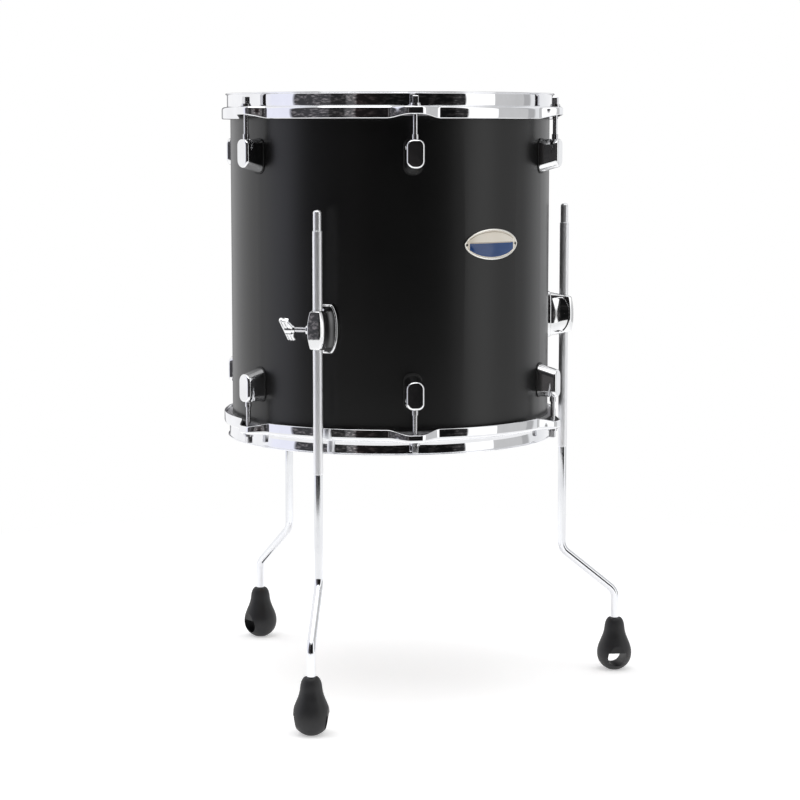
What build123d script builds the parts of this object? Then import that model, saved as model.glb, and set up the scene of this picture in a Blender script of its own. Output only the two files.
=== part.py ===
"""Floor tom drum, 14 x 14 inches, standing on three dog-leg legs.

Row frame: millimetres, +Z up, Z = 0 at the soles of the feet and the origin on the
drum's axis. The badge faces -Y. A bearing is an angle in degrees about +Z, counted
from the badge and growing towards +X.
"""

import os
from math import cos, degrees, radians, sin

from build123d import *

# ---- driving dimensions (mm, degrees) -----------------------------------------------
shell_diameter = 355.6          # 14 inches
shell_depth = 355.6             # 14 inches
shell_wall = 5.4                # six-ply maple
drum_centre_height = 473.0      # middle of the shell above the floor

bearing_edge_crest = 1.2        # crest of the bearing edge, in from the shell's outside
vent_diameter = 12.0
vent_bearing = 120.0

lug_bearings = (-150.0, -90.0, -30.0, 30.0, 90.0, 150.0)

hoop_wall = 2.3                 # pressed steel sheet
hoop_rise = 12.7                # hoop's outer edge beyond the bearing edge
hoop_gap = 1.2                  # hoop's upper wall to the shell's outside
hoop_skirt = 2.9                # lower wall carried past the head's ring
hoop_lip_overhang = 1.7         # small turned-out lip along the hoop's edge
hoop_lip_height = 1.6
ledge_depth = 15.0              # ledge's top below the hoop's edge
ear_reach = 6.9                 # ear's tip beyond the rod's axis
ear_tip_width = 25.0
ear_root_width = 46.0
ear_skirt_height = 8.7          # ear's lower edge below the ledge's top
ear_corner_radius = 4.0
rod_hole_clearance = 1.2        # radial, round a rod in its ear

film_thickness = 0.3
film_gap = 0.2                  # film's collar to the shell's outside
film_inset = 1.6                # collar's end inside the ring
head_ring_width = 6.1
head_ring_height = 8.0
head_ring_clearance = 0.5       # ring to the hoop's lower wall

rod_standoff = 15.7             # rod's axis out from the shell
rod_diameter = 5.0
rod_length = 52.0               # under the flange
rod_flange_margin = 2.7         # flange's edge beyond the shank
rod_flange_thickness = 1.5
rod_head_width = 6.2            # square drive
rod_head_corner = 0.7
rod_head_height = 7.6
rod_tip_chamfer = 0.8
rod_head_chamfer = 0.6
washer_margin = 0.6             # washer's edge beyond the flange
washer_thickness = 1.2
washer_bore_clearance = 0.4
running_clearance = 0.05        # a shaft in its own thread or bore, radial
seat_gap = 0.1                  # flat faces of pieces that turn on each other

lug_start = 49.6                # lug's end nearest the hoop, below the hoop's edge
lug_front_wall = 6.2            # rod's axis to the lug's front face
lug_front_length = 29.7
lug_base_length = 36.6
lug_width = 19.0
lug_top_corner = 7.0
lug_bottom_corner = 8.5
lug_edge_radius = 2.6
lug_root = 2.0                  # casting carried inside the seat before it is trimmed
slit_inner = 3.5                # V slit's sides at the lug's end, in from the rod's axis
slit_outer = 1.8                # and out from it
slit_apex = 0.3                 # apex, in from the rod's axis
slit_depth = 16.7
gasket_thickness = 0.8
gasket_margin = 0.7             # gasket stands proud of its casting

nut_collar_wall = 0.95
nut_collar_rise = 5.2
nut_barrel_wall = 1.7
nut_barrel_length = 16.0
nut_sink = 1.0                  # barrel's top below the lug's end
nut_clearance = 0.1
nut_pocket_room = 6.4           # pocket's end beyond the rod's tip

lug_screw_inset = 9.0           # screws from the two ends of the lug's base
lug_screw_diameter = 4.0
lug_screw_grip = 8.0            # thread in the lug
lug_screw_head_diameter = 7.6
lug_screw_head_height = 2.8
lug_washer_diameter = 10.0
lug_washer_thickness = 1.0
screw_hole_clearance = 0.25
screw_thread_clearance = 0.02
screw_head_taper = 12.0         # degrees
screw_drive_width = 2.4
screw_drive_floor = 1.1         # metal under the drive
flat_seat_clearance = 0.05      # a flat piece on the hollow inside of the shell

bracket_bearings = {"left": -60.0, "right": 60.0, "rear": 180.0}
bracket_drop = 57.4             # middle of the bracket below the middle of the shell
bracket_base_width = 29.0
bracket_base_height = 53.0
bracket_cap_width = 19.8
bracket_cap_height = 41.6
bracket_front_wall = 5.0        # leg's bore to the cap's face
bracket_edge_radius = 1.4
bracket_base_flat = 14.0        # level top and bottom edges
bracket_cap_flat = 12.6
bracket_root = 2.0              # casting carried inside the seat before it is trimmed
bracket_panel_depth = 1.4       # arched hollow in each side
panel_start = 6.5               # out from the shell
panel_front_wall = 5.4          # panel's end to the cap's face
panel_rim = 3.3                 # panel's ends to the cap's ends
panel_corner = 12.0
panel_foot_corner = 1.5
boss_wall = 1.8
boss_thread_length = 3.15
bracket_screw_inset = 8.5       # screws from the two ends of the base
bracket_screw_diameter = 5.0
bracket_screw_grip = 11.0
bracket_screw_head_diameter = 9.4
bracket_screw_head_height = 3.6
bracket_washer_diameter = 12.5
bracket_washer_thickness = 1.2

leg_standoff = 21.9             # leg's axis out from the shell
leg_knurl_diameter = 10.4
leg_polished_diameter = 9.6
leg_tip_diameter = 8.8
leg_clearance = 0.3             # leg in the bracket's bore, radial
leg_top_height = 541.0
leg_tip_length = 21.5
leg_tip_radius = 3.2
leg_shoulder_chamfer = 0.5
knurl_end_height = 263.0
bend_upper_height = 144.4
bend_lower_height = 92.3
bend_radius = 17.0
dog_leg_step = 63.7             # outward step of the dog-leg
bend_bearings = {"left": -43.4, "right": 60.0, "rear": 180.0}

foot_height = 60.5
foot_web = 7.0                  # rubber between the leg's end and the window
foot_bore_clearance = 0.05
foot_flat_width = 36.0          # across the window
foot_sole_radius = 7.0
foot_belly_radius = 19.9
foot_belly_height = 19.5
foot_neck_radius = 11.7
foot_neck_length = 11.5         # neck to the mouth
foot_mouth_wall = 2.6
foot_seam_turn = 130.0          # moulding seam, away from the window and the flats
window_top = 21.5
window_bottom = 5.5
window_width = 22.0
window_shoulder = 5.0           # height of the window's upright sides
window_draft = 1.0              # how far those sides lean in at the top

pad_margin = 0.7                # pad's edge beyond the wing bolt's shank
pad_thickness = 2.0
pad_lip = 2.0                   # how far the pad's horns reach round the leg
pad_gap = 0.2
pad_clearance = 0.3
pad_travel = 1.25               # one and a quarter turns of the wing bolt
bolt_diameter = 6.0
bolt_stand = 27.3               # wing's outer face beyond the boss
bolt_hub_margin = 1.75          # hub's edge beyond the shank
bolt_neck_margin = 0.4
bolt_hub_length = 7.0
bolt_hub_overlap = 2.0          # shank and hub carried into the wing
wing_span = 32.0
wing_depth = 10.5               # along the bolt
wing_thickness = 6.0
wing_waist = 1.6
wing_corner = 2.6
wing_waist_radius = 6.0
wing_sides = {"left": -1, "right": 1, "rear": -1}
wing_tilts = {"left": 45.0, "right": 7.0, "rear": 45.0}

badge_rise = 30.2               # middle of the badge above the middle of the shell
badge_width = 75.0              # tip to tip before the tips are rounded
badge_tip_radius = 3.0
badge_height = 33.0
badge_thickness = 1.0
badge_border_width = 1.8
badge_border_rise = 0.5
badge_pin_diameter = 2.4
badge_pin_inset = 4.2
badge_pin_rise = 0.5
badge_pin_rounding = 0.3

grommet_flange_margin = 4.5     # flange's edge beyond the vent
grommet_flange_thickness = 1.6
grommet_inner_margin = 2.5
grommet_wall = 1.7
grommet_chamfer = 1.0

cutter_margin = 1.0             # cutters start and end this far outside the metal

# ---- worked out from the driving dimensions -----------------------------------------
shell_radius = shell_diameter / 2
shell_inner_radius = shell_radius - shell_wall
shell_half_depth = shell_depth / 2
rim_half_span = shell_half_depth + hoop_rise
crest_radius = shell_radius - bearing_edge_crest
casting_seat_radius = shell_radius + gasket_thickness
plane_radius = shell_radius + cutter_margin     # planes that the shell is drilled from
drill_length = shell_wall + 3 * cutter_margin

film_inner_radius = shell_radius + film_gap
film_outer_radius = film_inner_radius + film_thickness
head_ring_outer_radius = film_outer_radius + head_ring_width
hoop_upper_inner_radius = shell_radius + hoop_gap
hoop_upper_outer_radius = hoop_upper_inner_radius + hoop_wall
hoop_lip_radius = hoop_upper_outer_radius + hoop_lip_overhang
hoop_lower_inner_radius = head_ring_outer_radius + head_ring_clearance
hoop_lower_outer_radius = hoop_lower_inner_radius + hoop_wall
ledge_underside_depth = ledge_depth + hoop_wall
head_ring_end_depth = ledge_underside_depth + head_ring_height
hoop_height = head_ring_end_depth + hoop_skirt

rod_radius_from_axis = shell_radius + rod_standoff
ear_outer_radius = rod_radius_from_axis + ear_reach
rod_flange_radius = rod_diameter / 2 + rod_flange_margin
rod_flange_depth = ledge_depth - washer_thickness - seat_gap
rod_tip_depth = rod_flange_depth + rod_length
nut_bore_radius = rod_diameter / 2 + running_clearance
nut_barrel_radius = rod_diameter / 2 + nut_barrel_wall
lug_screw_offsets = (-lug_screw_inset, lug_screw_inset - lug_base_length)

bracket_height = drum_centre_height - bracket_drop
leg_radius_from_axis = shell_radius + leg_standoff
leg_bore_radius = leg_knurl_diameter / 2 + leg_clearance
bracket_projection = leg_standoff + leg_bore_radius + bracket_front_wall
bracket_screw_offset = bracket_base_height / 2 - bracket_screw_inset
pad_face = leg_bore_radius
pad_back = pad_face + pad_thickness
pad_radius = bolt_diameter / 2 + pad_margin
pad_bore_end = pad_back + pad_travel + pad_clearance
bolt_tip = pad_back + seat_gap
boss_radius = pad_radius + boss_wall
boss_reach = pad_bore_end + boss_thread_length
bolt_reach = boss_reach + bolt_stand
bolt_hub_radius = bolt_diameter / 2 + bolt_hub_margin
foot_mouth_radius = leg_polished_diameter / 2 + foot_mouth_wall
foot_bore_bottom = window_top + foot_web
badge_centre_height = drum_centre_height + badge_rise
tall = 2 * drum_centre_height   # longer than any piece is high

BATTER, RESONANT = 1, -1
SIDES = {"batter": BATTER, "resonant": RESONANT}
LEG_NAMES = ("left", "right", "rear")


def outward(bearing):
    """Unit vector from the drum's axis at a bearing."""
    return Vector(sin(radians(bearing)), -cos(radians(bearing)), 0)


def around(bearing):
    """Unit vector along the shell, towards a growing bearing."""
    return Vector(cos(radians(bearing)), sin(radians(bearing)), 0)


def at_depth(side, depth):
    """Height of a level that lies depth below the edge of the hoop on one side."""
    return drum_centre_height + side * (rim_half_span - depth)


def face_plane(bearing, radius, height):
    """Plane that looks straight out of the shell: x along the shell, y up."""
    origin = outward(bearing) * radius + Vector(0, 0, height)
    return Plane(origin=origin, x_dir=around(bearing), z_dir=outward(bearing))


def section_plane(bearing, radius, height, side=BATTER):
    """Radial section: x straight out of the shell, y towards the hoop of that side."""
    origin = outward(bearing) * radius + Vector(0, 0, height)
    x_dir = outward(bearing)
    return Plane(origin=origin, x_dir=x_dir, z_dir=x_dir.cross(Vector(0, 0, side)))


def drum_ring(outer_radius, inner_radius):
    """Tall tube on the drum's axis, used to trim castings to the shell's curve."""
    with BuildPart() as ring:
        with BuildSketch(Plane.XY):
            Circle(outer_radius)
            Circle(inner_radius, mode=Mode.SUBTRACT)
        extrude(amount=tall)
    return ring.part


def level_edges(piece, height):
    """Edges of a piece that lie at one height."""
    return piece.edges().filter_by_position(Axis.Z, height - 0.01, height + 0.01)


def flat_seat(diameter):
    """Distance from the axis at which a flat disc rests on the hollow inside of the shell."""
    return (shell_inner_radius**2 - (diameter / 2) ** 2) ** 0.5 - flat_seat_clearance


def from_axis(shape):
    """Distance of a shape's middle from the drum's axis."""
    centre = shape.center()
    return Vector(centre.X, centre.Y, 0).length


def save(piece, name):
    """Label a finished piece and write it as its own file."""
    piece.part.label = name
    export_step(piece.part, f"parts/{name}.step")


os.makedirs("parts", exist_ok=True)


# ---- shell --------------------------------------------------------------------------
lug_seats = [
    (bearing, side, at_depth(side, lug_start))
    for side in (BATTER, RESONANT)
    for bearing in lug_bearings
]
lug_screw_planes = [
    face_plane(bearing, plane_radius, seat + side * offset)
    for bearing, side, seat in lug_seats
    for offset in lug_screw_offsets
]
bracket_screw_planes = [
    face_plane(bearing, plane_radius, bracket_height + sign * bracket_screw_offset)
    for bearing in bracket_bearings.values()
    for sign in (-1, 1)
]
badge_pin_reach = badge_width / 2 - badge_pin_inset
badge_pin_bearings = [sign * degrees(badge_pin_reach / shell_radius) for sign in (-1, 1)]
badge_pin_planes = [face_plane(b, plane_radius, badge_centre_height) for b in badge_pin_bearings]
edge_slope_depth = hoop_rise + crest_radius - shell_inner_radius    # 45 degree inner slope

with BuildPart() as shell:
    with BuildSketch(Plane.XZ):
        with BuildLine():
            Polyline(
                (shell_inner_radius, drum_centre_height),
                (shell_inner_radius, at_depth(BATTER, edge_slope_depth)),
                (crest_radius, at_depth(BATTER, hoop_rise)),
                (shell_radius, at_depth(BATTER, hoop_rise + bearing_edge_crest)),
                (shell_radius, at_depth(RESONANT, hoop_rise + bearing_edge_crest)),
                (crest_radius, at_depth(RESONANT, hoop_rise)),
                (shell_inner_radius, at_depth(RESONANT, edge_slope_depth)),
                close=True,
            )
        make_face()
    revolve(axis=Axis.Z)
    with Locations(*lug_screw_planes):
        Hole(lug_screw_diameter / 2 + screw_hole_clearance, depth=drill_length)
    with Locations(*bracket_screw_planes):
        Hole(bracket_screw_diameter / 2 + screw_hole_clearance, depth=drill_length)
    with Locations(face_plane(vent_bearing, plane_radius, drum_centre_height)):
        Hole(vent_diameter / 2, depth=drill_length)
    with Locations(*badge_pin_planes):
        Hole(badge_pin_diameter / 2 + screw_hole_clearance, depth=drill_length)
save(shell, "shell")


# ---- vent grommet -------------------------------------------------------------------
grommet_plane = section_plane(vent_bearing, 0, drum_centre_height)
grommet_bore_radius = vent_diameter / 2 - grommet_wall
grommet_shank_radius = vent_diameter / 2 - screw_thread_clearance
grommet_flange_radius = vent_diameter / 2 + grommet_flange_margin
grommet_inner_radius = vent_diameter / 2 + grommet_inner_margin
inner_face = flat_seat(2 * grommet_inner_radius)
outer_face = shell_radius + grommet_flange_thickness
with BuildPart() as vent_grommet:
    with BuildSketch(grommet_plane):
        with BuildLine():
            Polyline(
                (inner_face - grommet_flange_thickness, grommet_bore_radius),
                (outer_face, grommet_bore_radius),
                (outer_face, grommet_flange_radius - grommet_chamfer),
                (outer_face - grommet_chamfer, grommet_flange_radius),
                (shell_radius, grommet_flange_radius),
                (shell_radius, grommet_shank_radius),
                (inner_face, grommet_shank_radius),
                (inner_face, grommet_inner_radius),
                (inner_face - grommet_flange_thickness, grommet_inner_radius),
                close=True,
            )
        make_face()
    revolve(axis=Axis(grommet_plane.origin, outward(vent_bearing)))
save(vent_grommet, "vent_grommet")


# ---- badge and its pins -------------------------------------------------------------
def curved_plate(width, height, outer_radius):
    """Oval plate with pointed ends, curved to lie on the shell."""
    with BuildPart() as plate:
        with BuildSketch(face_plane(0, shell_inner_radius, badge_centre_height)):
            with BuildLine():
                ThreePointArc((-width / 2, 0), (0, height / 2), (width / 2, 0))
                ThreePointArc((width / 2, 0), (0, -height / 2), (-width / 2, 0))
            make_face()
            fillet(vertices(), badge_tip_radius)
        extrude(amount=3 * shell_wall)
        add(drum_ring(outer_radius, shell_radius), mode=Mode.INTERSECT)
    return plate.part


badge_face_radius = shell_radius + badge_thickness
badge_border_radius = badge_face_radius + badge_border_rise
with BuildPart() as badge:
    add(curved_plate(badge_width, badge_height, badge_border_radius))
    add(
        curved_plate(
            badge_width - 4 * badge_border_width,
            badge_height - 2 * badge_border_width,
            badge_border_radius,
        ),
        mode=Mode.SUBTRACT,
    )
    add(
        curved_plate(
            badge_width - badge_border_width,
            badge_height - badge_border_width,
            badge_face_radius,
        )
    )
    with Locations(*[plane.offset(badge_border_radius - shell_radius) for plane in badge_pin_planes]):
        Hole(badge_pin_diameter / 2 + screw_thread_clearance, depth=drill_length)
save(badge, "badge")

badge_pin_length = badge_pin_rise + badge_thickness + shell_wall - cutter_margin
with BuildPart() as badge_pins:
    for plane in badge_pin_planes:
        with BuildSketch(plane.offset(badge_face_radius + badge_pin_rise - plane_radius)):
            Circle(badge_pin_diameter / 2)
        extrude(amount=-badge_pin_length)
    rims = badge_pins.edges().group_by(from_axis)
    fillet(rims[-1], radius=badge_pin_rounding)
save(badge_pins, "badge_pins")


# ---- drumheads ----------------------------------------------------------------------
def head_film(side):
    """Film over the bearing edge, with its collar down the outside of the shell."""
    with BuildPart() as film:
        with BuildSketch(Plane.XZ):
            with BuildLine():
                Polyline(
                    (0, at_depth(side, hoop_rise)),
                    (crest_radius, at_depth(side, hoop_rise)),
                    (film_inner_radius, at_depth(side, hoop_rise + bearing_edge_crest)),
                    (film_inner_radius, at_depth(side, head_ring_end_depth - film_inset)),
                    (film_outer_radius, at_depth(side, head_ring_end_depth - film_inset)),
                    (film_outer_radius, at_depth(side, hoop_rise + bearing_edge_crest - film_thickness)),
                    (crest_radius + film_thickness / 2, at_depth(side, hoop_rise - film_thickness)),
                    (0, at_depth(side, hoop_rise - film_thickness)),
                    close=True,
                )
            make_face()
        revolve(axis=Axis.Z)
    return film


def head_ring(side):
    """Aluminium ring that grips the film's collar, under the hoop's ledge."""
    with BuildPart() as ring:
        with BuildSketch(Plane.XZ):
            with BuildLine():
                Polyline(
                    (film_outer_radius, at_depth(side, ledge_underside_depth)),
                    (head_ring_outer_radius, at_depth(side, ledge_underside_depth)),
                    (head_ring_outer_radius, at_depth(side, head_ring_end_depth)),
                    (film_outer_radius, at_depth(side, head_ring_end_depth)),
                    close=True,
                )
            make_face()
        revolve(axis=Axis.Z)
    return ring


# ---- hoops --------------------------------------------------------------------------
def ear_outline(inset):
    """Plan of one ear on the section to a lug, shrunk by inset all round."""
    tip = ear_outer_radius - inset
    root = hoop_lower_inner_radius + hoop_wall / 2
    Polyline(
        (root, -ear_root_width / 2 + inset),
        (tip, -ear_tip_width / 2 + inset),
        (tip, ear_tip_width / 2 - inset),
        (root, ear_root_width / 2 - inset),
        close=True,
    )


def plan_plane(bearing, height, side):
    """Level plane: x out towards a bearing, z towards the hoop's edge of that side."""
    return Plane(origin=(0, 0, height), x_dir=outward(bearing), z_dir=(0, 0, side))


def hoop(side):
    """Triple-flanged hoop: lip, upper wall, ledge, lower wall and an ear at each lug."""
    ledge_level = at_depth(side, ledge_depth)
    rod_places = [
        plan_plane(bearing, ledge_level, side) * Pos(rod_radius_from_axis, 0, 0)
        for bearing in lug_bearings
    ]
    with BuildPart() as rim:
        with BuildSketch(Plane.XZ):
            with BuildLine():
                Polyline(
                    (hoop_upper_inner_radius, at_depth(side, 0)),
                    (hoop_lip_radius, at_depth(side, 0)),
                    (hoop_lip_radius, at_depth(side, hoop_lip_height)),
                    (hoop_upper_outer_radius, at_depth(side, hoop_lip_height)),
                    (hoop_upper_outer_radius, ledge_level),
                    (hoop_lower_outer_radius, ledge_level),
                    (hoop_lower_outer_radius, at_depth(side, hoop_height)),
                    (hoop_lower_inner_radius, at_depth(side, hoop_height)),
                    (hoop_lower_inner_radius, at_depth(side, ledge_underside_depth)),
                    (hoop_upper_inner_radius, at_depth(side, ledge_underside_depth)),
                    close=True,
                )
            make_face()
        revolve(axis=Axis.Z)
        for bearing in lug_bearings:
            with BuildSketch(plan_plane(bearing, ledge_level, side)):
                with BuildLine():
                    ear_outline(0)
                make_face()
            extrude(amount=-ear_skirt_height)
        for bearing in lug_bearings:
            with BuildSketch(plan_plane(bearing, at_depth(side, ledge_underside_depth), side)):
                with BuildLine():
                    ear_outline(hoop_wall)
                make_face()
                with Locations((hoop_lower_inner_radius, 0)):
                    Rectangle(2 * hoop_wall, 2 * ear_root_width, mode=Mode.SUBTRACT)
            extrude(amount=-hoop_height, mode=Mode.SUBTRACT)
        upright = rim.edges().filter_by(Axis.Z)
        tip_corners = upright.filter_by(lambda edge: from_axis(edge) > ear_outer_radius)
        fillet(tip_corners, radius=ear_corner_radius)
        with Locations(*rod_places):
            Hole(rod_diameter / 2 + rod_hole_clearance, depth=2 * hoop_wall)
    return rim


for side_name, side in SIDES.items():
    save(hoop(side), f"{side_name}_hoop")
    save(head_film(side), f"{side_name}_head_film")
    save(head_ring(side), f"{side_name}_head_ring")


# ---- tension rods and their washers -------------------------------------------------
def rod_plane(bearing, side, depth):
    """Level plane on a rod's axis: z towards the hoop's edge, x away from the drum."""
    origin = outward(bearing) * rod_radius_from_axis + Vector(0, 0, at_depth(side, depth))
    return Plane(origin=origin, x_dir=outward(bearing), z_dir=(0, 0, side))


def tension_rod(bearing, side):
    """Key rod: square drive, flange and shank, hanging from the ear of the hoop."""
    head_start = rod_flange_depth - rod_flange_thickness
    head_end = head_start - rod_head_height
    with BuildPart() as rod:
        with BuildSketch(rod_plane(bearing, side, rod_flange_depth)):
            Circle(rod_flange_radius)
        extrude(amount=rod_flange_thickness)
        with BuildSketch(rod_plane(bearing, side, head_start)):
            RectangleRounded(rod_head_width, rod_head_width, radius=rod_head_corner)
        extrude(amount=rod_head_height)
        chamfer(level_edges(rod, at_depth(side, head_end)), rod_head_chamfer)
        with BuildSketch(rod_plane(bearing, side, rod_flange_depth)):
            Circle(rod_diameter / 2)
        extrude(amount=-rod_length)
        chamfer(level_edges(rod, at_depth(side, rod_tip_depth)), rod_tip_chamfer)
    return rod


with BuildPart() as rod_washers:
    for bearing, side, _ in lug_seats:
        with BuildSketch(rod_plane(bearing, side, ledge_depth)):
            Circle(rod_flange_radius + washer_margin)
            Circle(rod_diameter / 2 + washer_bore_clearance, mode=Mode.SUBTRACT)
        extrude(amount=washer_thickness)
save(rod_washers, "rod_washers")


# ---- lugs, gaskets, swivel nuts and screws -------------------------------------------
def lug_face_plane(bearing, side, radius):
    """Plane that looks out of the shell at a lug: y towards the hoop, 0 at the lug's end."""
    origin = outward(bearing) * radius + Vector(0, 0, at_depth(side, lug_start))
    return Plane(origin=origin, x_dir=around(bearing) * side, z_dir=outward(bearing))


def lug_outline(length, margin=0.0):
    """Front view of a lug of some length, grown by a margin all round."""
    half = lug_width / 2 + margin
    far = -length - margin
    FilletPolyline(
        (half, margin), (half, far), (-half, far), (-half, margin),
        radius=[lug_top_corner, lug_bottom_corner, lug_bottom_corner, lug_top_corner],
        close=True,
    )


def lug(bearing, side):
    """Cast lug: block on the shell and a front wall, split by a V that takes the nut."""
    front_radius = rod_radius_from_axis + lug_front_wall
    slit_plane = section_plane(bearing, rod_radius_from_axis, at_depth(side, lug_start), side)
    pocket_length = rod_tip_depth + nut_pocket_room - lug_start
    with BuildPart() as casting:
        with BuildSketch(lug_face_plane(bearing, side, shell_radius - lug_root)):
            with BuildLine():
                lug_outline(lug_base_length)
            make_face()
        with BuildSketch(lug_face_plane(bearing, side, front_radius)):
            with BuildLine():
                lug_outline(lug_front_length)
            make_face()
        loft(ruled=True)
        front_face = casting.faces().sort_by(lambda face: face.center().dot(outward(bearing)))[-1]
        fillet(front_face.edges(), lug_edge_radius)
        with BuildSketch(slit_plane):
            with BuildLine():
                Polyline(
                    (-slit_inner, cutter_margin), (-slit_inner, 0), (-slit_apex, -slit_depth),
                    (slit_outer, 0), (slit_outer, cutter_margin), close=True,
                )
            make_face()
        extrude(amount=lug_width, both=True, mode=Mode.SUBTRACT)
        with BuildSketch(rod_plane(bearing, side, lug_start)):
            Circle(nut_barrel_radius + nut_clearance)
        extrude(amount=-pocket_length, mode=Mode.SUBTRACT)
        with BuildSketch(Plane.XY):
            Circle(casting_seat_radius)
        extrude(amount=tall, mode=Mode.SUBTRACT)
        with BuildSketch(lug_face_plane(bearing, side, shell_radius)):
            with Locations(*[(0, offset) for offset in lug_screw_offsets]):
                Circle(lug_screw_diameter / 2 + screw_thread_clearance)
        extrude(amount=gasket_thickness + lug_screw_grip + cutter_margin, mode=Mode.SUBTRACT)
    return casting


with BuildPart() as lug_gaskets:
    for bearing, side, _ in lug_seats:
        with BuildSketch(lug_face_plane(bearing, side, shell_inner_radius)):
            with BuildLine():
                lug_outline(lug_base_length, gasket_margin)
            make_face()
            with Locations(*[(0, offset) for offset in lug_screw_offsets]):
                Circle(lug_screw_diameter / 2 + screw_hole_clearance, mode=Mode.SUBTRACT)
        extrude(amount=shell_wall + gasket_thickness + cutter_margin)
    add(drum_ring(casting_seat_radius, shell_radius), mode=Mode.INTERSECT)
save(lug_gaskets, "lug_gaskets")

with BuildPart() as swivel_nuts:
    for bearing, side, _ in lug_seats:
        barrel_plane = rod_plane(bearing, side, lug_start + nut_sink)
        with BuildSketch(barrel_plane):
            Circle(nut_barrel_radius)
            Circle(nut_bore_radius, mode=Mode.SUBTRACT)
        extrude(amount=-nut_barrel_length)
        with BuildSketch(barrel_plane):
            Circle(rod_diameter / 2 + nut_collar_wall)
            Circle(nut_bore_radius, mode=Mode.SUBTRACT)
        extrude(amount=nut_sink + nut_collar_rise)
save(swivel_nuts, "swivel_nuts")


def washers(planes, diameter, thickness, bore_diameter):
    """Flat washers against the inside of the shell, one at each plane."""
    with BuildPart() as rings:
        for plane in planes:
            with BuildSketch(plane.offset(flat_seat(diameter) - thickness - plane_radius)):
                Circle(diameter / 2)
                Circle(bore_diameter / 2, mode=Mode.SUBTRACT)
            extrude(amount=thickness)
    return rings


def screws(planes, shank_diameter, grip, head_diameter, head_height, head_seat):
    """Screws from inside the shell into a casting: pan head with a hexagonal drive."""
    head_start = head_seat - plane_radius
    with BuildPart() as bolts:
        for plane in planes:
            with BuildSketch(plane.offset(head_start)):
                Circle(shank_diameter / 2)
            extrude(amount=casting_seat_radius + grip - head_seat)
            with BuildSketch(plane.offset(head_start)):
                Circle(head_diameter / 2)
            extrude(amount=-head_height, taper=screw_head_taper)
            with BuildSketch(plane.offset(head_start - head_height)):
                RegularPolygon(screw_drive_width / 2, 6, major_radius=False)
            extrude(amount=head_height - screw_drive_floor, mode=Mode.SUBTRACT)
    return bolts


save(
    washers(
        lug_screw_planes, lug_washer_diameter, lug_washer_thickness,
        lug_screw_diameter + 2 * screw_hole_clearance,
    ),
    "lug_screw_washers",
)
save(
    screws(
        lug_screw_planes, lug_screw_diameter, lug_screw_grip, lug_screw_head_diameter,
        lug_screw_head_height, flat_seat(lug_washer_diameter) - lug_washer_thickness,
    ),
    "lug_screws",
)
for side_name, side in SIDES.items():
    for number, bearing in enumerate(lug_bearings, start=1):
        save(lug(bearing, side), f"{side_name}_lug_{number}")
        save(tension_rod(bearing, side), f"{side_name}_tension_rod_{number}")


# ---- leg brackets -------------------------------------------------------------------
def barrel_outline(width, height, flat):
    """Front view of a bracket: level ends of width flat, bulging sides."""
    Line((-flat / 2, height / 2), (flat / 2, height / 2))
    ThreePointArc((flat / 2, height / 2), (width / 2, 0), (flat / 2, -height / 2))
    Line((flat / 2, -height / 2), (-flat / 2, -height / 2))
    ThreePointArc((-flat / 2, -height / 2), (-width / 2, 0), (-flat / 2, height / 2))


def barrel_block(bearing, shrink):
    """Bracket before its cuts, tapering from the shell to the cap; shrink thins its sides."""
    thinner = 2 * shrink
    with BuildPart() as block:
        with BuildSketch(face_plane(bearing, shell_radius - bracket_root, bracket_height)):
            with BuildLine():
                barrel_outline(
                    bracket_base_width - thinner, bracket_base_height, bracket_base_flat - thinner
                )
            make_face()
        with BuildSketch(face_plane(bearing, shell_radius + bracket_projection, bracket_height)):
            with BuildLine():
                barrel_outline(bracket_cap_width - thinner, bracket_cap_height, bracket_cap_flat - thinner)
            make_face()
        loft()
    return block


def leg_point(name, height):
    """Point on the axis of a leg's straight upper part."""
    return outward(bracket_bearings[name]) * leg_radius_from_axis + Vector(0, 0, height)


def bolt_plane(name, distance):
    """Plane across the wing bolt, a distance from the leg's axis, with z along the bolt."""
    bearing = bracket_bearings[name]
    along = around(bearing) * wing_sides[name]
    tilt = radians(wing_tilts[name])
    span = outward(bearing) * cos(tilt) + Vector(0, 0, sin(tilt))
    return Plane(origin=leg_point(name, bracket_height) + along * distance, x_dir=span, z_dir=along)


def side_panels(name):
    """Cutter for the arched hollow in each side of a bracket."""
    bearing = bracket_bearings[name]
    core = barrel_block(bearing, bracket_panel_depth)
    panel_end = bracket_projection - panel_front_wall
    half_height = bracket_cap_height / 2 - panel_rim
    with BuildPart() as panels:
        with BuildSketch(section_plane(bearing, shell_radius, bracket_height)):
            with BuildLine():
                FilletPolyline(
                    (panel_start, -half_height), (panel_end, -half_height),
                    (panel_end, half_height), (panel_start, half_height),
                    radius=[panel_foot_corner, panel_corner, panel_corner, panel_foot_corner],
                    close=True,
                )
            make_face()
        extrude(amount=bracket_base_width, both=True)
        add(core.part, mode=Mode.SUBTRACT)
    return panels


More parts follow.
